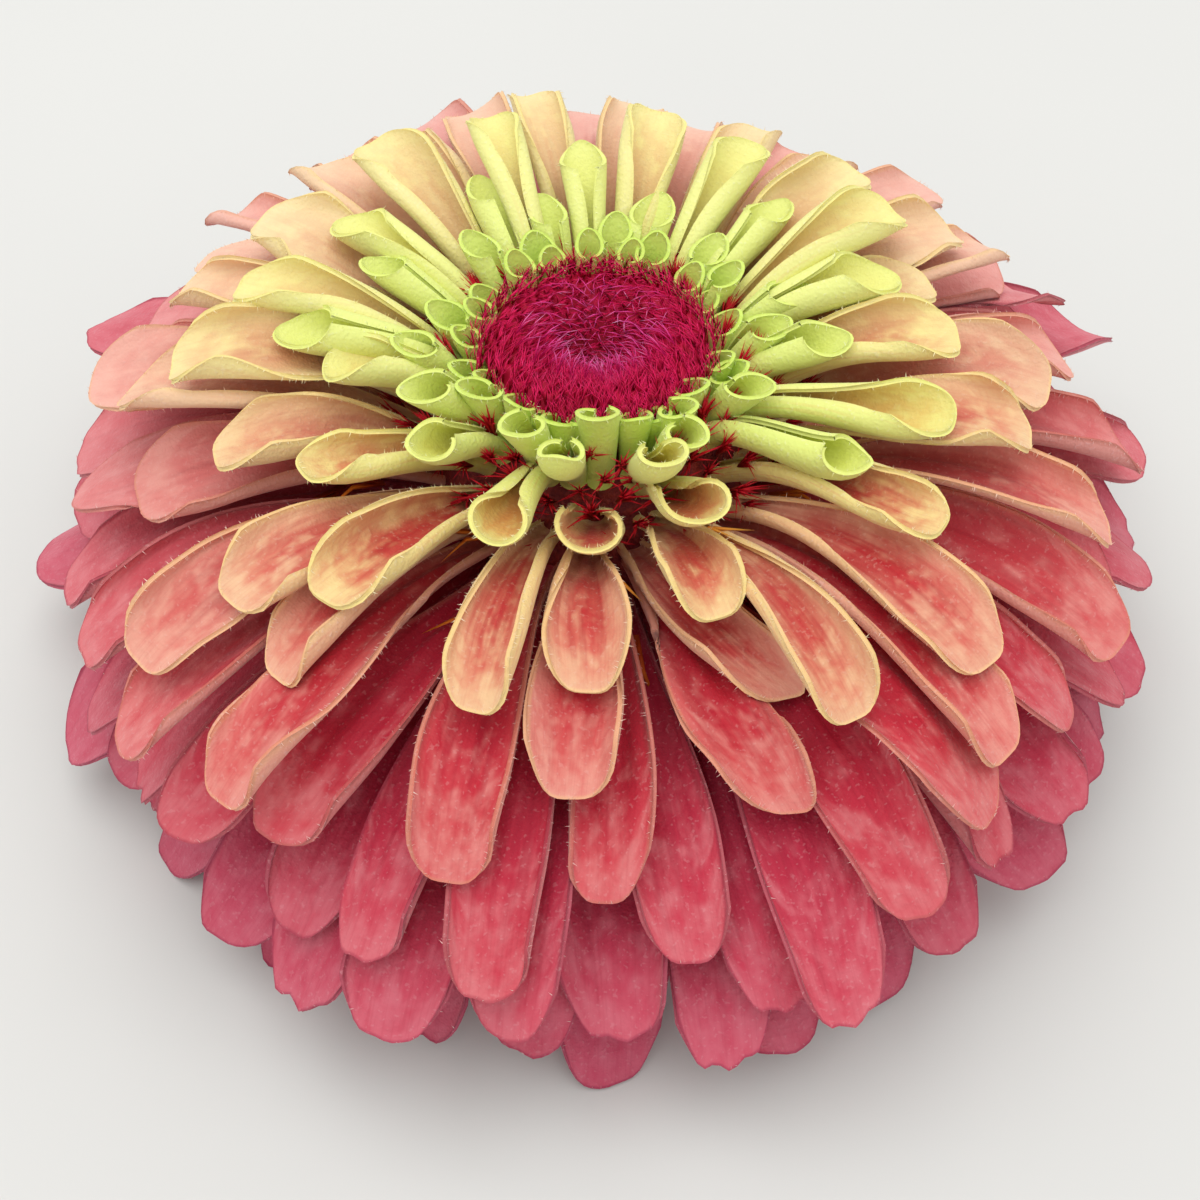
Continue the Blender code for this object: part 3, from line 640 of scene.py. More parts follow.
def layFlorets():
    # Every floret's upper face, the youngest first, each pressed under those that grew above it.
    cells = int(2 * resting["reach"] / resting["cell"]) + 2
    ceiling = np.full((cells, cells), resting["open"])
    laid = {}
    for part in ("buds", "quills", "middle", "outer"):
        columns, rows = blades[part]["columns"], blades[part]["rows"]
        across, along = np.meshgrid(np.linspace(-1, 1, columns + 1), np.linspace(0, 1, rows + 1))
        across = crowd(across, bladeSkin["marginCrowding"])
        along = 1 - (1 - along) ** bladeSkin["tipCrowding"]
        for number in reversed(blades[part]["numbers"]):
            turn = floretTurn(number, drawChances(number))
            loaded = ease(along / 0.2) * (1 - form("loose", number))
            free = floretSurface(number, across, along)[0]
            kept = keptRoll(pressOn(ceiling, free, turn) * loaded)
            upper, half, chord = floretSurface(number, across, along, kept)
            upper[..., 2] -= evenPress(pressOn(ceiling, upper, turn) * loaded)
            upper[..., 2] = np.maximum(upper[..., 2], bloom["lowest"])
            lowerCeiling(ceiling, upper, turn, bladeSkin["clearance"] * measure("thickness", number))
            laid[number] = (across, along, upper, half, chord)
    return laid


def unit(vectors):
    return vectors / np.linalg.norm(vectors, axis=-1, keepdims=True).clip(1e-9)


def bladeShell(upper, thickness):
    # A closed blade: the upper face, a face beneath it, and a rounded rim between them.
    rows, columns = upper.shape[:2]
    normal = unit(np.cross(np.gradient(upper, axis=0), np.gradient(upper, axis=1)))
    lower = upper - normal * thickness
    grid = np.arange(rows * columns).reshape(rows, columns)
    loop = np.concatenate([grid[0, :-1], grid[:-1, -1], grid[-1, :0:-1], grid[:0:-1, 0]])
    flatUpper, flatLower = upper.reshape(-1, 3), lower.reshape(-1, 3)
    middle = (flatUpper[loop] + flatLower[loop]) / 2
    run = unit(np.roll(middle, -1, axis=0) - np.roll(middle, 1, axis=0))
    outward = unit(np.cross(run, normal.reshape(-1, 3)[loop]))
    rim = middle + outward * thickness * bladeSkin["rim"]
    points = np.concatenate([flatUpper, flatLower, rim])
    count = rows * columns
    quads = np.stack([grid[:-1, :-1], grid[1:, :-1], grid[1:, 1:], grid[:-1, 1:]], axis=-1).reshape(-1, 4)
    ring = 2 * count + np.arange(len(loop))
    following, nextRing = np.roll(loop, -1), np.roll(ring, -1)
    upperStrip = np.stack([loop, following, nextRing, ring], axis=-1)
    lowerStrip = np.stack([ring, nextRing, following + count, loop + count], axis=-1)
    faces = np.concatenate([quads, quads[:, ::-1] + count, upperStrip[:, ::-1], lowerStrip[:, ::-1]])
    isRim = np.concatenate([np.zeros(2 * len(quads)), np.ones(2 * len(loop))])
    back = np.concatenate([np.zeros(count), np.ones(count), np.full(len(loop), 0.5)])
    source = np.concatenate([np.arange(count), np.arange(count), loop])
    return points, faces, isRim, back, source


def onShell(source, first, second, third):
    # Gives each point of a shell the values of the grid point that it comes from.
    return np.stack([first.ravel()[source], second.ravel()[source], third], axis=-1)


def growFloret(number, laid):
    # One floret's mesh parts, with the attributes that its colours read.
    across, along, upper, half, chord = laid[number]
    points, faces, isRim, back, source = bladeShell(upper, measure("thickness", number))
    chance = drawChances(number)
    turn = floretTurn(number, chance)
    margin = np.minimum((1 - np.abs(across)) * half, (1 - along) * chord * 1.1).ravel()[source]
    margin[back == 0.5] = 0.0
    # Painted backlight: how much paler and yellower a floret is painted, for light coming from behind and
    # through it.
    backlight = float(ease((math.sin(turn) - 0.15 * math.cos(turn) + 0.85) / 1.5))  # most at the back left
    seed = float(np.random.RandomState(900 + number).rand())
    return {
        "points": points,
        "faces": faces,
        "blade": onShell(source, across, along, back),
        "floret": np.tile([number / bloom["lastTier"], seed, backlight], (len(points), 1)),
        "lay": onShell(source, across * half, along * chord, margin),
        "spiralStep": np.full(len(points), number - looseTurn(number, chance) / bloom["goldenAngle"]),
        "hairy": isRim * (0.20 + 0.80 * form("bearded", number)),
    }


def joinParts(name, parts):
    # One mesh out of several, with their attributes.
    starts = np.cumsum([0] + [len(part["points"]) for part in parts[:-1]])
    points = np.concatenate([part["points"] for part in parts]) * mm
    faces = np.concatenate([part["faces"] + start for part, start in zip(parts, starts)])
    mesh = bpy.data.meshes.new(name)
    mesh.from_pydata(points.tolist(), [], faces.tolist())
    for label in ("blade", "floret", "lay"):
        values = np.concatenate([part[label] for part in parts]).astype(np.float32)
        mesh.attributes.new(label, "FLOAT_VECTOR", "POINT").data.foreach_set("vector", values.ravel())
    for label, domain in (("spiralStep", "POINT"), ("hairy", "FACE")):
        values = np.concatenate([part[label] for part in parts]).astype(np.float32)
        mesh.attributes.new(label, "FLOAT", domain).data.foreach_set("value", values)
    return smooth(newObject(name, mesh))


def centreInMetres():
    return [value * mm for value in bloom["centre"]]


def setOnSpiral(item, tree, material):
    runTree(item, tree, {"First turn": bloom["firstTurn"], "Golden angle": bloom["goldenAngle"],
                         "Centre": centreInMetres(), "Material": material})
    return smooth(item)


def fringe(name, source, tree, settings, material):
    # The hairs along the rims of a piece, as a piece of their own.
    item = newObject(name, source.data.copy())
    return runTree(item, tree, {**settings, "Material": material})


# Colours of the petals at floret numbers, in screen values.
petalTones = {
    "face": [(0, (192, 60, 90)), (40, (194, 52, 80)), (80, (200, 44, 68)), (105, (204, 44, 58)),
             (125, (208, 50, 56)), (146, (208, 66, 62)), (153, (212, 96, 74)), (160, (226, 188, 98)),
             (167, (216, 224, 98)), (195, (204, 226, 88))],
    "margin": [(0, (204, 104, 124)), (60, (214, 120, 130)), (90, (222, 136, 136)),
               (115, (230, 162, 144)), (136, (234, 198, 150)), (150, (240, 224, 146)),
               (165, (230, 236, 134)), (195, (208, 230, 108))],
    "under": [(0, (206, 104, 124)), (60, (214, 120, 128)), (90, (222, 138, 132)), (115, (232, 170, 142)),
              (136, (238, 204, 136)), (150, (234, 222, 136)), (160, (224, 232, 130)), (195, (206, 230, 110))],
    # The petals' own dark bases, made darker and longer up the blade as painted shade between the overlapping
    # petals.
    "throatShade": [(0, (146, 10, 54)), (70, (156, 6, 44)), (110, (164, 6, 34)), (148, (168, 24, 26)),
               (157, (178, 106, 44)), (168, (134, 148, 28)), (195, (120, 144, 26))],
    "edge": [(0, (146, 36, 76)), (80, (156, 44, 66)), (105, (214, 140, 110)), (120, (242, 204, 146)),
             (150, (244, 228, 148)), (170, (230, 240, 138)), (195, (212, 234, 114))],
    # Painted backlight: the paler, yellower colour painted on florets at the back left, where light shines
    # through them.
    "backlight": [(0, (222, 128, 142)), (50, (234, 148, 154)), (85, (242, 176, 172)), (115, (246, 204, 184)),
             (140, (248, 228, 180)), (160, (242, 240, 158)), (195, (214, 234, 116))],
}

# How strongly each marking shows on a petal, with the painted shade in the throats, the painted backlight and
# the painted glints among them.
petalMarks = {
    "throatShade": 0.9, "patch": 0.36, "band": 0.60, "veins": 0.18, "veinShade": (0.78, 0.40, 0.50, 1),
    "threads": 0.26, "underTip": 0.4, "backlitShare": 0.30, "backlitSpoonShare": 0.36, "line": 0.55,
    "specks": 0.14, "underSpecks": 0.22, "grain": 3600.0, "bump": 0.00007,
}


def petalMaterial(name, sheen):
    material, bench, skin = newMaterial(name)
    tier, seed, backlight = bench.attribute("floret")
    across, along, back = bench.attribute("blade")
    side, length, margin = bench.attribute("lay")
    colours = {key: bench.ramp(tier, tierStops(rows)) for key, rows in petalTones.items()}
    grain = bench.noise(bench.spot(), petalMarks["grain"], 1.0, 0.6)
    blotch = bench.noise(bench.vector(side * 0.80 + seed * 50.0, length * 0.52 + seed * 23.0, seed * 31.0),
                         1.0, 2.0, 0.6)
    streak = bench.noise(bench.vector(across * 3.6 + seed * 60.0, length * 0.07 + seed * 9.0, seed * 31.0),
                         1.4, 1.0, 0.55)
    thread = bench.noise(bench.vector(across * 14.0 + seed * 40.0, length * 0.14, seed * 17.0),
                         1.5, 1.0, 0.5)
    spoon = bench.step(tier, 0.48, 0.64)  # 0 on the flat outer rays, 1 on the spoons
    quill = bench.step(tier, 0.74, 0.84)
    rimward = 1 - bench.step(margin + (blotch - 0.5) * 3.4, -0.3, 0.9 + spoon * 1.9)
    tipward = bench.step(along + (blotch - 0.5) * 0.7, 0.64 - spoon * 0.06, 1.08)
    lighter = bench.greater(rimward * (0.12 + spoon * 0.7), tipward * (0.54 + spoon * 0.36))
    # The throat: the petal's own deep red base, carried further up the blade and darkened as painted shade
    # where petals lie over one another.
    throatShade = (1 - bench.step(along + (streak - 0.5) * 0.9, 0.30, 0.98)) * (1 - quill * 0.5)
    face = bench.mix(colours["face"], colours["throatShade"], throatShade * petalMarks["throatShade"])
    face = bench.mix(face, colours["margin"], lighter)
    patch = bench.step(blotch, 0.44, 0.80) * bench.step(along, 0.30, 0.80)
    face = bench.mix(face, colours["margin"], patch * petalMarks["patch"])
    band = bench.step(streak, 0.42, 0.66) * (1 - bench.step(bench.maths("ABSOLUTE", across, 0.0), 0.45, 0.90))
    band = band * bench.step(along, 0.10, 0.40) * (1 - bench.step(along, 0.66, 1.0))
    face = bench.mix(face, colours["throatShade"], band * (petalMarks["band"] - quill * 0.5))
    veins = bench.step(thread, 0.48, 0.68) * (petalMarks["veins"] - quill * 0.15)
    face = bench.mix(face, petalMarks["veinShade"], veins, "MULTIPLY")
    threads = bench.step(thread, 0.50, 0.70) * petalMarks["threads"]
    under = bench.mix(colours["under"], colours["face"], threads)
    under = bench.mix(under, colours["margin"], bench.step(along, 0.4, 1.0) * petalMarks["underTip"])
    whole = bench.mix(face, under, bench.step(back, 0.3, 0.7))
    # Painted backlight: florets at the back left are painted paler, most on the spoons, for light shining
    # through them.
    backlitShare = backlight * (petalMarks["backlitShare"] + bench.step(tier, 0.28, 0.60) * petalMarks["backlitSpoonShare"])
    whole = bench.mix(whole, colours["backlight"], backlitShare * (1 - throatShade * 0.35))
    line = 1 - bench.step(margin, 0.05, 0.28)
    whole = bench.mix(whole, colours["edge"], line * petalMarks["line"])
    # Pale specks, most on the undersides: partly the petals' own pale hairs and partly painted glints where
    # the hairs catch light.
    specksAndGlints = bench.step(grain, 0.60, 0.72) * (petalMarks["specks"] + back * petalMarks["underSpecks"])
    whole = bench.mix(whole, bench.mix(colours["margin"], (1, 1, 1, 1), 0.3), specksAndGlints)
    finishSkin(bench, skin, whole, 0.6, grain, petalMarks["bump"], 0.22)
    skin.inputs["Sheen Weight"].default_value = sheen
    skin.inputs["Sheen Roughness"].default_value = 0.5
    return material


def fringeMaterial(name):
    material, bench, skin = newMaterial(name)
    tier = bench.attribute("floret")[0]
    colour = bench.mix(bench.ramp(tier, tierStops(petalTones["edge"])), (1.0, 0.97, 0.86, 1.0), 0.7)
    cloud = bench.noise(bench.spot(), 900.0)
    colour = bench.mix(colour, bench.ramp(tier, tierStops(petalTones["margin"])), cloud)
    finishSkin(bench, skin, colour, 0.45, specular=0.4)
    return material


spiralTree = goldenSpiral()
hairTree = fringeHairs()

rayHairs = {"Hairs per mm2": 20.0, "Hair length": 0.00030, "Hair width": 0.00006, "Spread": 0.5, "Seed": 3}

rayVelvet = petalMaterial("rayVelvet", 0.14)
quillSkin = petalMaterial("quillSkin", 0.12)
rimHair = fringeMaterial("rimHair")

laid = layFlorets()
print("florets laid over one another")


def growRays(name, groups, material):
    # All florets of the named groups as one piece.
    florets = [growFloret(number, laid) for group in groups for number in blades[group]["numbers"]]
    return setOnSpiral(joinParts(name, florets), spiralTree, material)


outer = growRays("outer_rays", ["outer"], rayVelvet)
middle = growRays("middle_rays", ["middle"], rayVelvet)
quill = growRays("quills", ["quills", "buds"], quillSkin)
print("rays and quills grown")
outerHair = fringe("outer_ray_fringe", outer, hairTree, rayHairs, rimHair)
middleHair = fringe("middle_ray_fringe", middle, hairTree, rayHairs, rimHair)
quillHair = fringe("quill_fringe", quill, hairTree, rayHairs, rimHair)
print("fringes grown")


receptacle = {
    "profile": [(0, 2.2), (7.6, 2.2), (9.6, 3.4), (10.9, 5.6), (11.3, 8.2), (10.9, 10.6), (9.9, 12.6),
                (8.8, 14.2), (8.3, 15.2), (7.5, 15.9), (6.3, 16.1), (0, 16.1)],
    "steps": 72,
}


def turnedMesh(name, profile, steps, relief=None):
    # A closed turned solid from its foot on the axis to its top on the axis, in the table's frame.
    rings = np.array([(radius, height) for radius, height in profile[1:-1]])
    turns = np.linspace(0, 2 * math.pi, steps, endpoint=False)
    radius = np.repeat(rings[:, :1], steps, axis=1)
    height = np.repeat(rings[:, 1:], steps, axis=1)
    turn = np.repeat(turns[None], len(rings), axis=0)
    if relief is not None:
        radius, height = relief(radius, height, turn)
    points = np.stack([radius * np.cos(turn), radius * np.sin(turn), height], axis=-1).reshape(-1, 3)
    points = np.concatenate([points, [(0, 0, profile[0][1]), (0, 0, profile[-1][1])]])
    points = (points + bloom["centre"]) * mm
    grid = np.arange(len(rings) * steps).reshape(-1, steps)
    after = np.roll(grid, -1, axis=1)
    quads = np.stack([grid[:-1], after[:-1], after[1:], grid[1:]], axis=-1).reshape(-1, 4).tolist()
    foot, top = len(points) - 2, len(points) - 1
    quads += [(foot, int(b), int(a)) for a, b in zip(grid[0], after[0])]
    quads += [(top, int(a), int(b)) for a, b in zip(grid[-1], after[-1])]
    mesh = bpy.data.meshes.new(name)
    mesh.from_pydata(points.tolist(), [], quads)
    return smooth(newObject(name, mesh))


def refine(profile, times):
    # Rounds a profile off: each run cuts a quarter off both ends of every stretch.
    points = np.array(profile, float)
    for _ in range(times):
        before, after = points[:-1], points[1:]
        cut = np.stack([before * 0.75 + after * 0.25, before * 0.25 + after * 0.75], axis=1)
        points = np.concatenate([points[:1], cut.reshape(-1, 2), points[-1:]])
    points[0, 0] = points[-1, 0] = 0.0
    return [tuple(point) for point in points]


def receptacleMaterial():
    material, bench, skin = newMaterial("receptacleFlesh")
    pits = bench.noise(bench.spot(), 1500.0, 3.0, 0.6)
    colour = bench.mix(tone(112, 12, 24), tone(146, 40, 30), bench.step(pits, 0.4, 0.65))
    finishSkin(bench, skin, colour, 0.65, pits, 0.0004)
    return material


core = turnedMesh("receptacle", refine(receptacle["profile"], 2), receptacle["steps"])
core.data.materials.append(receptacleMaterial())


def tuftMesh(name, prongs, length, spread, radius, bow, seed, stray=0.25):
    # A few thin prongs that fan out of one root.
    chance = np.random.RandomState(seed)
    points, faces, heights = [], [], []
    for prong in range(prongs):
        fan = spread * (prong / max(prongs - 1, 1) * 2 - 1) + 0.12 * chance.normal()
        lean = stray * chance.normal() + bow
        reach = length * (0.78 + 0.3 * chance.rand())
        for share, thick in ((0.0, 1.0), (0.55, 0.8)):
            middle = np.array([math.sin(lean * share) * share, math.sin(fan * share) * share, share]) * reach
            for corner in range(3):
                turn = corner * 2 * math.pi / 3
                points.append(middle + radius * thick * np.array([math.cos(turn), math.sin(turn), 0]))
                heights.append(share)
        points.append(np.array([math.sin(lean) * 0.9, math.sin(fan), math.cos(fan) * 0.95]) * reach)
        heights.append(1.0)
        base = 7 * prong
        for corner in range(3):
            other = (corner + 1) % 3
            faces.append((base + corner, base + other, base + 3 + other, base + 3 + corner))
            faces.append((base + 3 + corner, base + 3 + other, base + 6))
        faces.append((base + 2, base + 1, base))
    mesh = bpy.data.meshes.new(name)
    mesh.from_pydata((np.array(points) * mm).tolist(), [], faces)
    mesh.attributes.new("height", "FLOAT", "POINT").data.foreach_set("value", heights)
    return newObject(name, mesh)


def spiralTufts(name, heights, leans):
    # Stands copies of a tuft on a golden-angle spiral. Heights in mm and leans in degrees are given at
    # shares of the way from the inner radius to the outer one.
    tree, bench, given = newTree(name, {
        "Count": "Int", "First turn": "Float", "Golden angle": "Float", "Inner radius": "Float",
        "Outer radius": "Float", "Centre": "Vector", "Scatter": "Float", "Smallest": "Float",
        "Largest": "Float", "Seed": "Int", "Tuft": "Object", "Material": "Material"})
    degree = math.radians(1)
    highest = 30.0  # mm, at the top of the curve of heights
    seed = given.out("Seed")
    place = bench.make("GeometryNodeInputIndex")
    share = (place + 0.5) / given.out("Count")
    inner, outside = given.out("Inner radius"), given.out("Outer radius")
    radius = (inner * inner + (outside * outside - inner * inner) * share) ** 0.5
    turn = (given.out("First turn") - place * given.out("Golden angle")) * degree
    across = (radius - inner) / (outside - inner)
    height = bench.curve(across, [(x, value / highest) for x, value in heights]) * (highest * mm)
    lean = (bench.curve(across, [(x, (value + 90) / 180) for x, value in leans]) * 180 - 90) * degree
    stray = bench.make("ShaderNodeSeparateXYZ", {}, {0: bench.chanceVector(seed)}, "X")
    sideways, upward = stray.out("Y"), stray.out("Z")
    scatter = given.out("Scatter") * degree
    radius = radius + upward * outside * 0.02
    cosine, sine = bench.maths("COSINE", turn, 0.0), bench.maths("SINE", turn, 0.0)
    spot = bench.vectorSum(bench.vector(radius * cosine, radius * sine, height), given.out("Centre"))
    points = bench.make("GeometryNodePoints", {}, {"Count": given.out("Count"), "Position": spot})
    for label, value in (("seed", upward * 0.5 + 0.5), ("outward", across)):
        points = bench.make("GeometryNodeStoreNamedAttribute", {"data_type": "FLOAT", "domain": "POINT"},
                            {"Geometry": points, "Name": label, "Value": value})
    aim = bench.vector(stray * scatter, lean + sideways * scatter, turn + upward * 0.4)
    aim = bench.make("FunctionNodeEulerToRotation", {}, {0: aim})
    size = bench.chance(given.out("Smallest"), given.out("Largest"), seed + 5)
    tuft = bench.make("GeometryNodeObjectInfo", {"transform_space": "ORIGINAL"},
                      {"Object": given.out("Tuft")}, "Geometry")
    tufts = bench.make("GeometryNodeInstanceOnPoints", {},
                       {"Points": points, "Instance": tuft, "Rotation": aim, "Scale": size})
    closeTree(bench, tufts, given.out("Material"))
    return tree


def growTufts(name, plan, material):
    item = newObject(name, bpy.data.meshes.new(name))
    tuft = tuftMesh(name + "_tuft", **plan["tuft"])
    tree = spiralTufts(name, plan["heights"], plan["leans"])
    runTree(item, tree, {**plan["stand"], "Golden angle": bloom["goldenAngle"], "Centre": centreInMetres(),
                         "Tuft": tuft, "Material": material})
    bpy.data.objects.remove(tuft)
    return smooth(item)


def tuftMaterial(name, dark, bright, tipTintAndSheen, tipShare):
    material, bench, skin = newMaterial(name)
    seed, height, outward = (bench.reading(label) for label in ("seed", "height", "outward"))
    cloud = bench.noise(bench.spot(), 700.0, 2.0)
    upward = bench.step(height * 0.7 + cloud * 0.6 - outward * 0.25, 0.2, 0.8)
    colour = bench.mix(tone(*dark), tone(*bright), upward)
    # Paler tips: the tufts' own tip colour, and on the disc bristles partly a painted highlight on the silky
    # hairs.
    tipped = bench.step(seed + cloud * 0.4 - outward * 0.5, 1 - tipShare, 1.15) * bench.step(height, 0.3, 0.9)
    colour = bench.mix(colour, tone(*tipTintAndSheen), tipped)
    finishSkin(bench, skin, colour, 0.42 + cloud * 0.2, specular=0.2)
    return material


disc = {
    "profile": [(0, 15.8), (6.2, 15.8), (6.7, 17.2), (7.1, 18.3), (7.3, 19.0), (7.0, 19.7), (6.2, 20.1),
                (5.2, 20.0), (4.1, 19.4), (3.0, 18.4), (1.7, 17.0), (0, 16.3)],
    "steps": 96,
    "stand": {"Count": 880, "First turn": 40.0, "Inner radius": 0.0008, "Outer radius": 0.0082,
              "Scatter": 16.0, "Smallest": 0.7, "Largest": 1.05, "Seed": 11},
    "tuft": {"prongs": 5, "length": 1.9, "spread": 0.42, "radius": 0.05, "bow": -0.25, "seed": 21},
    "heights": [(0, 15.9), (0.2, 17.16), (0.35, 18.36), (0.5, 19.26), (0.66, 19.8), (0.83, 19.74),
                (1, 19.08)],
    "leans": [(0, -14.4), (0.25, -28.8), (0.5, -28.8), (0.75, -14.4), (1, 7.2)],
}
filaments = {
    "stand": {"Count": 130, "First turn": 25.0, "Inner radius": 0.0018, "Outer radius": 0.0054,
              "Scatter": 15.0, "Smallest": 0.6, "Largest": 1.2, "Seed": 14},
    "tuft": {"prongs": 2, "length": 1.9, "spread": 0.26, "radius": 0.05, "bow": -0.5, "seed": 33},
    "heights": [(0, 18.0), (0.25, 19.02), (0.5, 19.98), (0.75, 20.7), (1, 21.06)],
    "leans": [(0, -28.8), (0.4, -39.6), (0.8, -43.2), (1, -39.6)],
}
chaff = {
    "stand": {"Count": 150, "First turn": 12.0, "Inner radius": 0.0083, "Outer radius": 0.0127,
              "Scatter": 12.0, "Smallest": 0.8, "Largest": 1.25, "Seed": 5},
    "tuft": {"prongs": 24, "length": 3.1, "spread": 0.34, "radius": 0.09, "bow": 0.1, "seed": 8,
             "stray": 0.14},
    "heights": [(0, 17.4), (0.5, 16.2), (1, 13.2)],
    "leans": [(0, 10.8), (1, 50.4)],
}
styles = {
    "stand": {"Count": 46, "First turn": 71.0, "Inner radius": 0.0125, "Outer radius": 0.0175,
              "Scatter": 22.0, "Smallest": 0.75, "Largest": 1.3, "Seed": 9},
    "tuft": {"prongs": 2, "length": 4.2, "spread": 0.25, "radius": 0.20, "bow": 0.6, "seed": 4},
    "heights": [(0, 13.8), (1, 10.2)],
    "leans": [(0, 28.8), (1, 64.8)],
}


def moundRelief(radius, height, turn):
    # Small bumps all over the disc's cushion.
    swirl = np.sin(21 * turn + 3.1 * radius) * ease(radius / 2.5)
    return radius + 0.05 * swirl, height + np.where(height > 19, 0.16 * swirl, 0.0)


# The disc bristles' pink tips are partly painted highlights on the silky hairs.
discPlush = tuftMaterial("discPlush", (176, 6, 48), (240, 30, 104), (250, 120, 190), 0.3)
filamentPink = tuftMaterial("filamentPink", (206, 20, 100), (236, 80, 164), (255, 184, 228), 0.6)
chaffRed = tuftMaterial("chaffRed", (140, 6, 20), (198, 20, 38), (214, 50, 62), 0.2)
styleGold = tuftMaterial("styleGold", (176, 60, 16), (228, 128, 36), (240, 170, 70), 0.5)

mound = turnedMesh("disc_mound", refine(disc["profile"], 2), disc["steps"], moundRelief)
mound.data.materials.append(discPlush)
bristles = growTufts("disc_bristles", disc, discPlush)
threads = growTufts("disc_filaments", filaments, filamentPink)
chaffTips = growTufts("chaff", chaff, chaffRed)
styleHooks = growTufts("styles", styles, styleGold)
print("disc, chaff and styles grown")


stem = {
    "profile": [(0, -8.75), (1.2, -8.8), (1.9, -8.95), (2.6, -9.0), (2.85, -8.8), (2.8, -7.6), (3.3, -6.5),
                (5.0, -5.3), (7.2, -3.4), (8.4, -1.2), (8.8, 0.6), (8.3, 2.0), (7.4, 2.3), (0, 2.3)],
    "steps": 96,
    "ribs": 11,
    "hairy": (0.35, 5.0),  # from and up to how far over the table, in mm
    "hairs": {"Hairs per mm2": 9.0, "Hair length": 0.0007, "Hair width": 0.00006, "Spread": 0.5, "Seed": 2},
}
bracts = {
    "count": 26,
    "width": 6.4,
    "length": 5.0,
    "lowest": -2.0,
    "highest": 1.7,
    "thickness": 0.42,
    "crowding": 1.4,
    "cupHeights": [-7, -5.3, -3.4, -1.2, 2.4],
    "cupRadii": [2.6, 4.9, 7.0, 8.3, 9.0],
    "hairs": {"Hairs per mm2": 4.0, "Hair length": 0.0004, "Hair width": 0.00006, "Spread": 0.5, "Seed": 6},
}


def growBract(number):
    # One blunt scale leaf hugging the cup, drawn in an upright plane.
    chance = np.random.RandomState(70 + number).normal(size=4)
    seed = np.random.RandomState(170 + number).rand()
    share = number / (bracts["count"] - 1)
    wide = bracts["width"] * (1 + 0.05 * chance[0])
    top = bracts["lowest"] + (bracts["highest"] - bracts["lowest"]) * share + 0.12 * chance[1]
    across, along = np.meshgrid(np.linspace(1, -1, 13), np.linspace(0, 1, 13))
    across = crowd(across, bracts["crowding"])
    run = along * (1 - 0.16 * (1 - (1 - np.abs(across) ** 2.2).clip(0) ** 0.5))
    side = across * wide / 2 * (0.78 + 0.5 * run - 0.62 * run**3)
    height = top - bracts["length"] * (1 - run)
    radius = np.interp(height, bracts["cupHeights"], bracts["cupRadii"])
    radius = radius + (1.15 - 0.45 * share) * run**2 + 0.1 - 0.045 * side**2 + 0.05 * np.sin(5 * side) * run
    upper = np.stack([radius, side, height], axis=-1)
    points, faces, isRim, back, source = bladeShell(upper, bracts["thickness"])
    margin = np.minimum((1 - np.abs(across)) * wide / 2, (1 - along) * bracts["length"]).ravel()[source]
    return {
        "points": points,
        "faces": faces,
        "blade": onShell(source, across, along, back),
        "floret": np.tile([share, seed, 0], (len(points), 1)),
        "lay": onShell(source, side, height, margin),
        "spiralStep": np.full(len(points), number + 0.03 * chance[2]),
        "hairy": isRim * 1.2 + 0.08,
    }


def stemRelief(radius, height, turn):
    # Ribs down the stem, which fade out into the cup.
    ribbed = (1 - ease((height + 5.5) / 2.5)) * ease((radius - 1.5) / 1.2)
    return radius - 0.16 * ribbed * (0.5 + 0.5 * np.cos(stem["ribs"] * turn)), height


def stemMaterial():
    material, bench, skin = newMaterial("stemGreen")
    spot = bench.spot()
    x = bench.make("ShaderNodeSeparateXYZ", {}, {0: spot}, "X")
    y, z = x.out("Y"), x.out("Z")
    fibre = bench.noise(bench.vector(x * 1400.0, y * 1400.0, z * 180.0), 1.0, 3.0, 0.6)
    cloud = bench.noise(spot, 500.0, 2.0)
    colour = bench.mix(tone(104, 132, 58), tone(146, 168, 86), bench.step(fibre, 0.38, 0.62))
    colour = bench.mix(colour, tone(126, 96, 62), bench.step(cloud, 0.58, 0.75) * 0.35)
    pores = bench.step(bench.noise(spot, 2600.0, 2.0), 0.4, 0.65)
    pith = bench.mix(tone(214, 212, 164), tone(150, 168, 96), pores)
    colour = bench.mix(colour, pith, 1 - bench.step(z, 0.00006, 0.0004))  # on the cut end
    finishSkin(bench, skin, colour, 0.55 + fibre * 0.15, fibre + cloud * 0.5, 0.0002)
    return material


def bractMaterial():
    material, bench, skin = newMaterial("bractGreen")
    seed = bench.attribute("floret")[1]
    along = bench.attribute("blade")[1]
    side, height, margin = bench.attribute("lay")
    cloud = bench.noise(bench.spot(), 600.0, 3.0, 0.6)
    veins = bench.noise(bench.vector(side * 3.2 + seed * 40.0, height * 0.35, seed * 9.0), 1.4, 3.0, 0.6)
    colour = bench.mix(tone(110, 140, 62), tone(158, 178, 96), bench.step(veins, 0.36, 0.66))
    colour = bench.mix(colour, tone(176, 186, 120), (1 - bench.step(along, 0.1, 0.6)) * 0.5)
    dark = 1 - bench.step(margin + (cloud - 0.5) * 0.5, 0.25, 0.85)
    colour = bench.mix(colour, tone(62, 34, 26), dark * bench.step(along, 0.35, 0.75))
    finishSkin(bench, skin, colour, 0.5 + cloud * 0.15, veins + cloud * 0.4, 0.0002)
    return material


def stemHairMaterial():
    material, bench, skin = newMaterial("stemHair")
    colour = bench.mix(tone(196, 204, 160), tone(150, 136, 104), bench.noise(bench.spot(), 800.0))
    finishSkin(bench, skin, colour, 0.4)
    return material


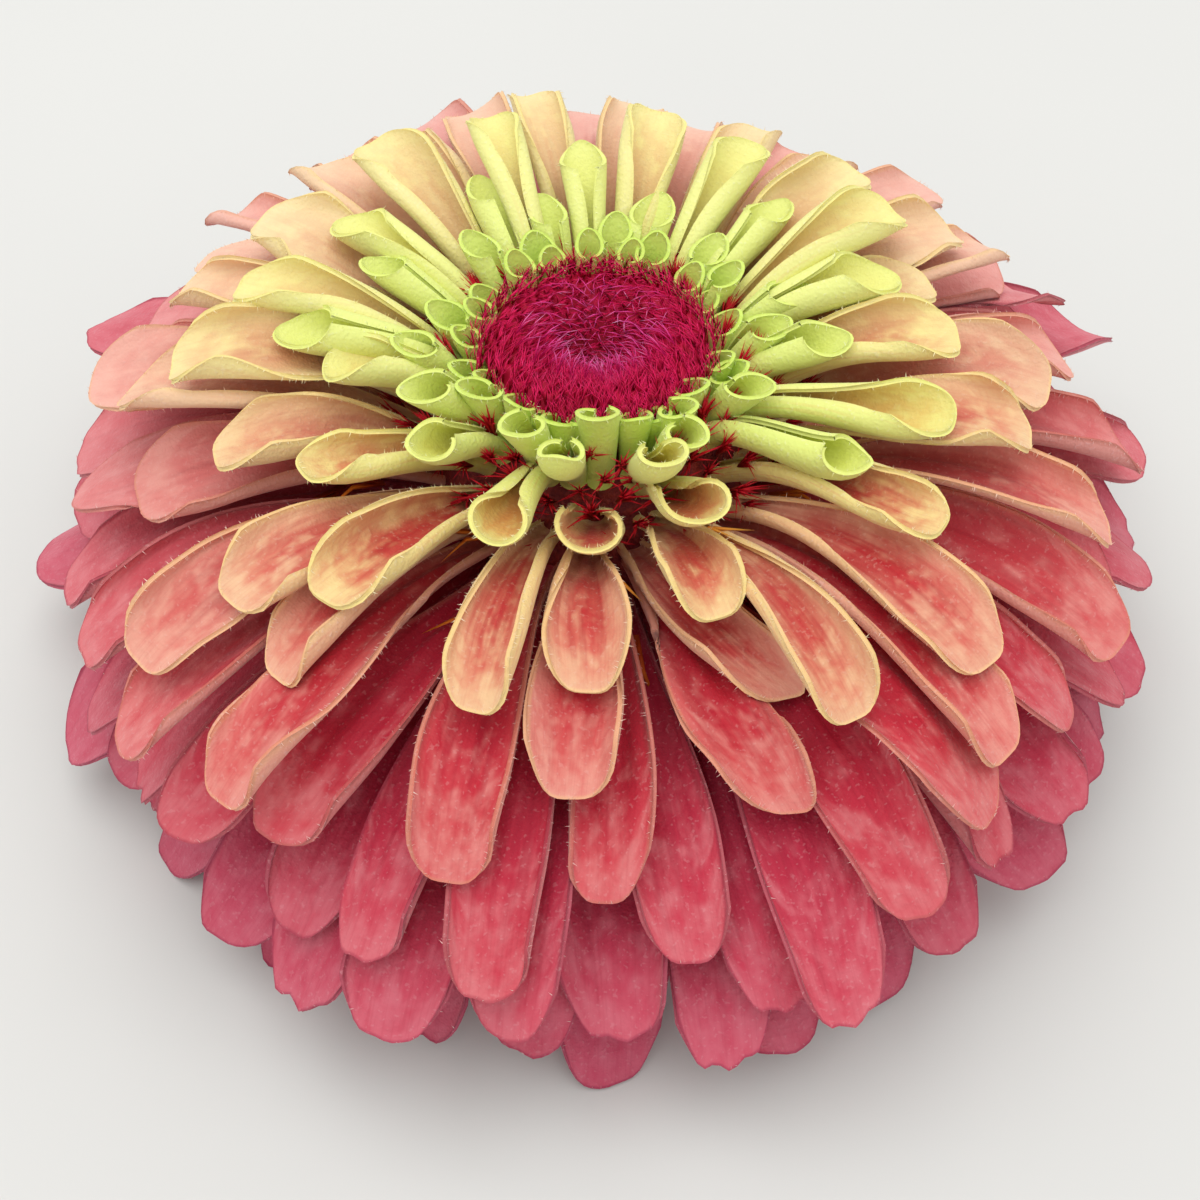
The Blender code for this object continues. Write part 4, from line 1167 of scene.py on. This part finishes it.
def markHairy(item, start, end):
    # Marks the faces between two heights over the table, in mm, for the hairs.
    over = np.array([polygon.center.z for polygon in item.data.polygons]) / mm
    marks = ((over > start) & (over < end)).astype(np.float32)
    item.data.attributes.new("hairy", "FLOAT", "FACE").data.foreach_set("value", marks)


stalk = turnedMesh("stem", refine(stem["profile"], 2), stem["steps"], stemRelief)
stalk.data.materials.append(stemMaterial())
markHairy(stalk, *stem["hairy"])
scaleParts = [growBract(number) for number in range(bracts["count"])]
scales = setOnSpiral(joinParts("bracts", scaleParts), spiralTree, bractMaterial())
stemHair = stemHairMaterial()
stalkHair = fringe("stem_hairs", stalk, hairTree, stem["hairs"], stemHair)
scaleHair = fringe("bract_hairs", scales, hairTree, bracts["hairs"], stemHair)
print("stem and bracts grown")

for piece in (stalk, scales):
    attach(piece, "root")
    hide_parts("stem_and_involucre")
for piece in (mound, bristles, threads):
    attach(piece, "root")
    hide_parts("disc_florets")
for piece, slot in ((stalkHair, "stem_green"), (scaleHair, "stem_green"), (chaffTips, "disc_crimson"),
                    (styleHooks, "disc_crimson")):
    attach(piece, "root")
for piece in (outer, middle, core):
    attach(piece, "root")
    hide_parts("ray_florets")
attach(quill, "root")
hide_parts("quill_florets")
for piece, slot in ((outerHair, "ray_coral"), (middleHair, "ray_coral"), (quillHair, "quill_lime")):
    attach(piece, "root")

# Floor, light and camera, in metres and degrees.
studio = {
    "target": (0.00080, -0.00070, 0.0032),
    "distance": 0.125,
    "pitch": 50.0,
    "lens": 49.3,
    "sensor": 36.0,
    "nearest": 0.005,
    "skyStrength": 0.85,
    "lampPower": 1.3,
    "lampSize": 0.5,
    "lampPlace": (-0.04, 0.0, 0.50),
}


def layFloor():
    mesh = bpy.data.meshes.new("floor")
    mesh.from_pydata([(-2, -2, 0), (2, -2, 0), (2, 2, 0), (-2, 2, 0)], [], [(0, 1, 2, 3)])
    floor = newObject("floor", mesh)
    material, bench, skin = newMaterial("paleFloor")
    cloud = bench.noise(bench.spot(), 9.0, 3.0)
    finishSkin(bench, skin, bench.mix(tone(222, 222, 218), tone(214, 214, 211), cloud), 0.8)
    mesh.materials.append(material)


def hangLight():
    world = bpy.data.worlds.new("studio")
    bpy.context.scene.world = world
    world.use_nodes = True
    sky = world.node_tree.nodes["Background"]
    sky.inputs["Color"].default_value = (1.0, 1.0, 1.0, 1.0)
    sky.inputs["Strength"].default_value = studio["skyStrength"]
    lamp = bpy.data.lights.new("lamp", "AREA")
    lamp.energy = studio["lampPower"]
    lamp.size = studio["lampSize"]
    item = newObject("lamp", lamp)
    item.location = studio["lampPlace"]
    aim = Vector(studio["target"]) - item.location
    item.rotation_euler = aim.to_track_quat("-Z", "Y").to_euler()


def setCamera():
    camera = bpy.data.cameras.new("camera")
    camera.lens = studio["lens"]
    camera.sensor_width = studio["sensor"]
    camera.clip_start = studio["nearest"]
    item = newObject("camera", camera)
    pitch = math.radians(studio["pitch"])
    back = Vector((0, -math.cos(pitch), math.sin(pitch))) * studio["distance"]
    item.location = Vector(studio["target"]) + back
    item.rotation_euler = (math.pi / 2 - pitch, 0, 0)
    bpy.context.scene.camera = item


layFloor()
hangLight()
setCamera()
bpy.context.scene.view_settings.view_transform = "Standard"
print("studio set")
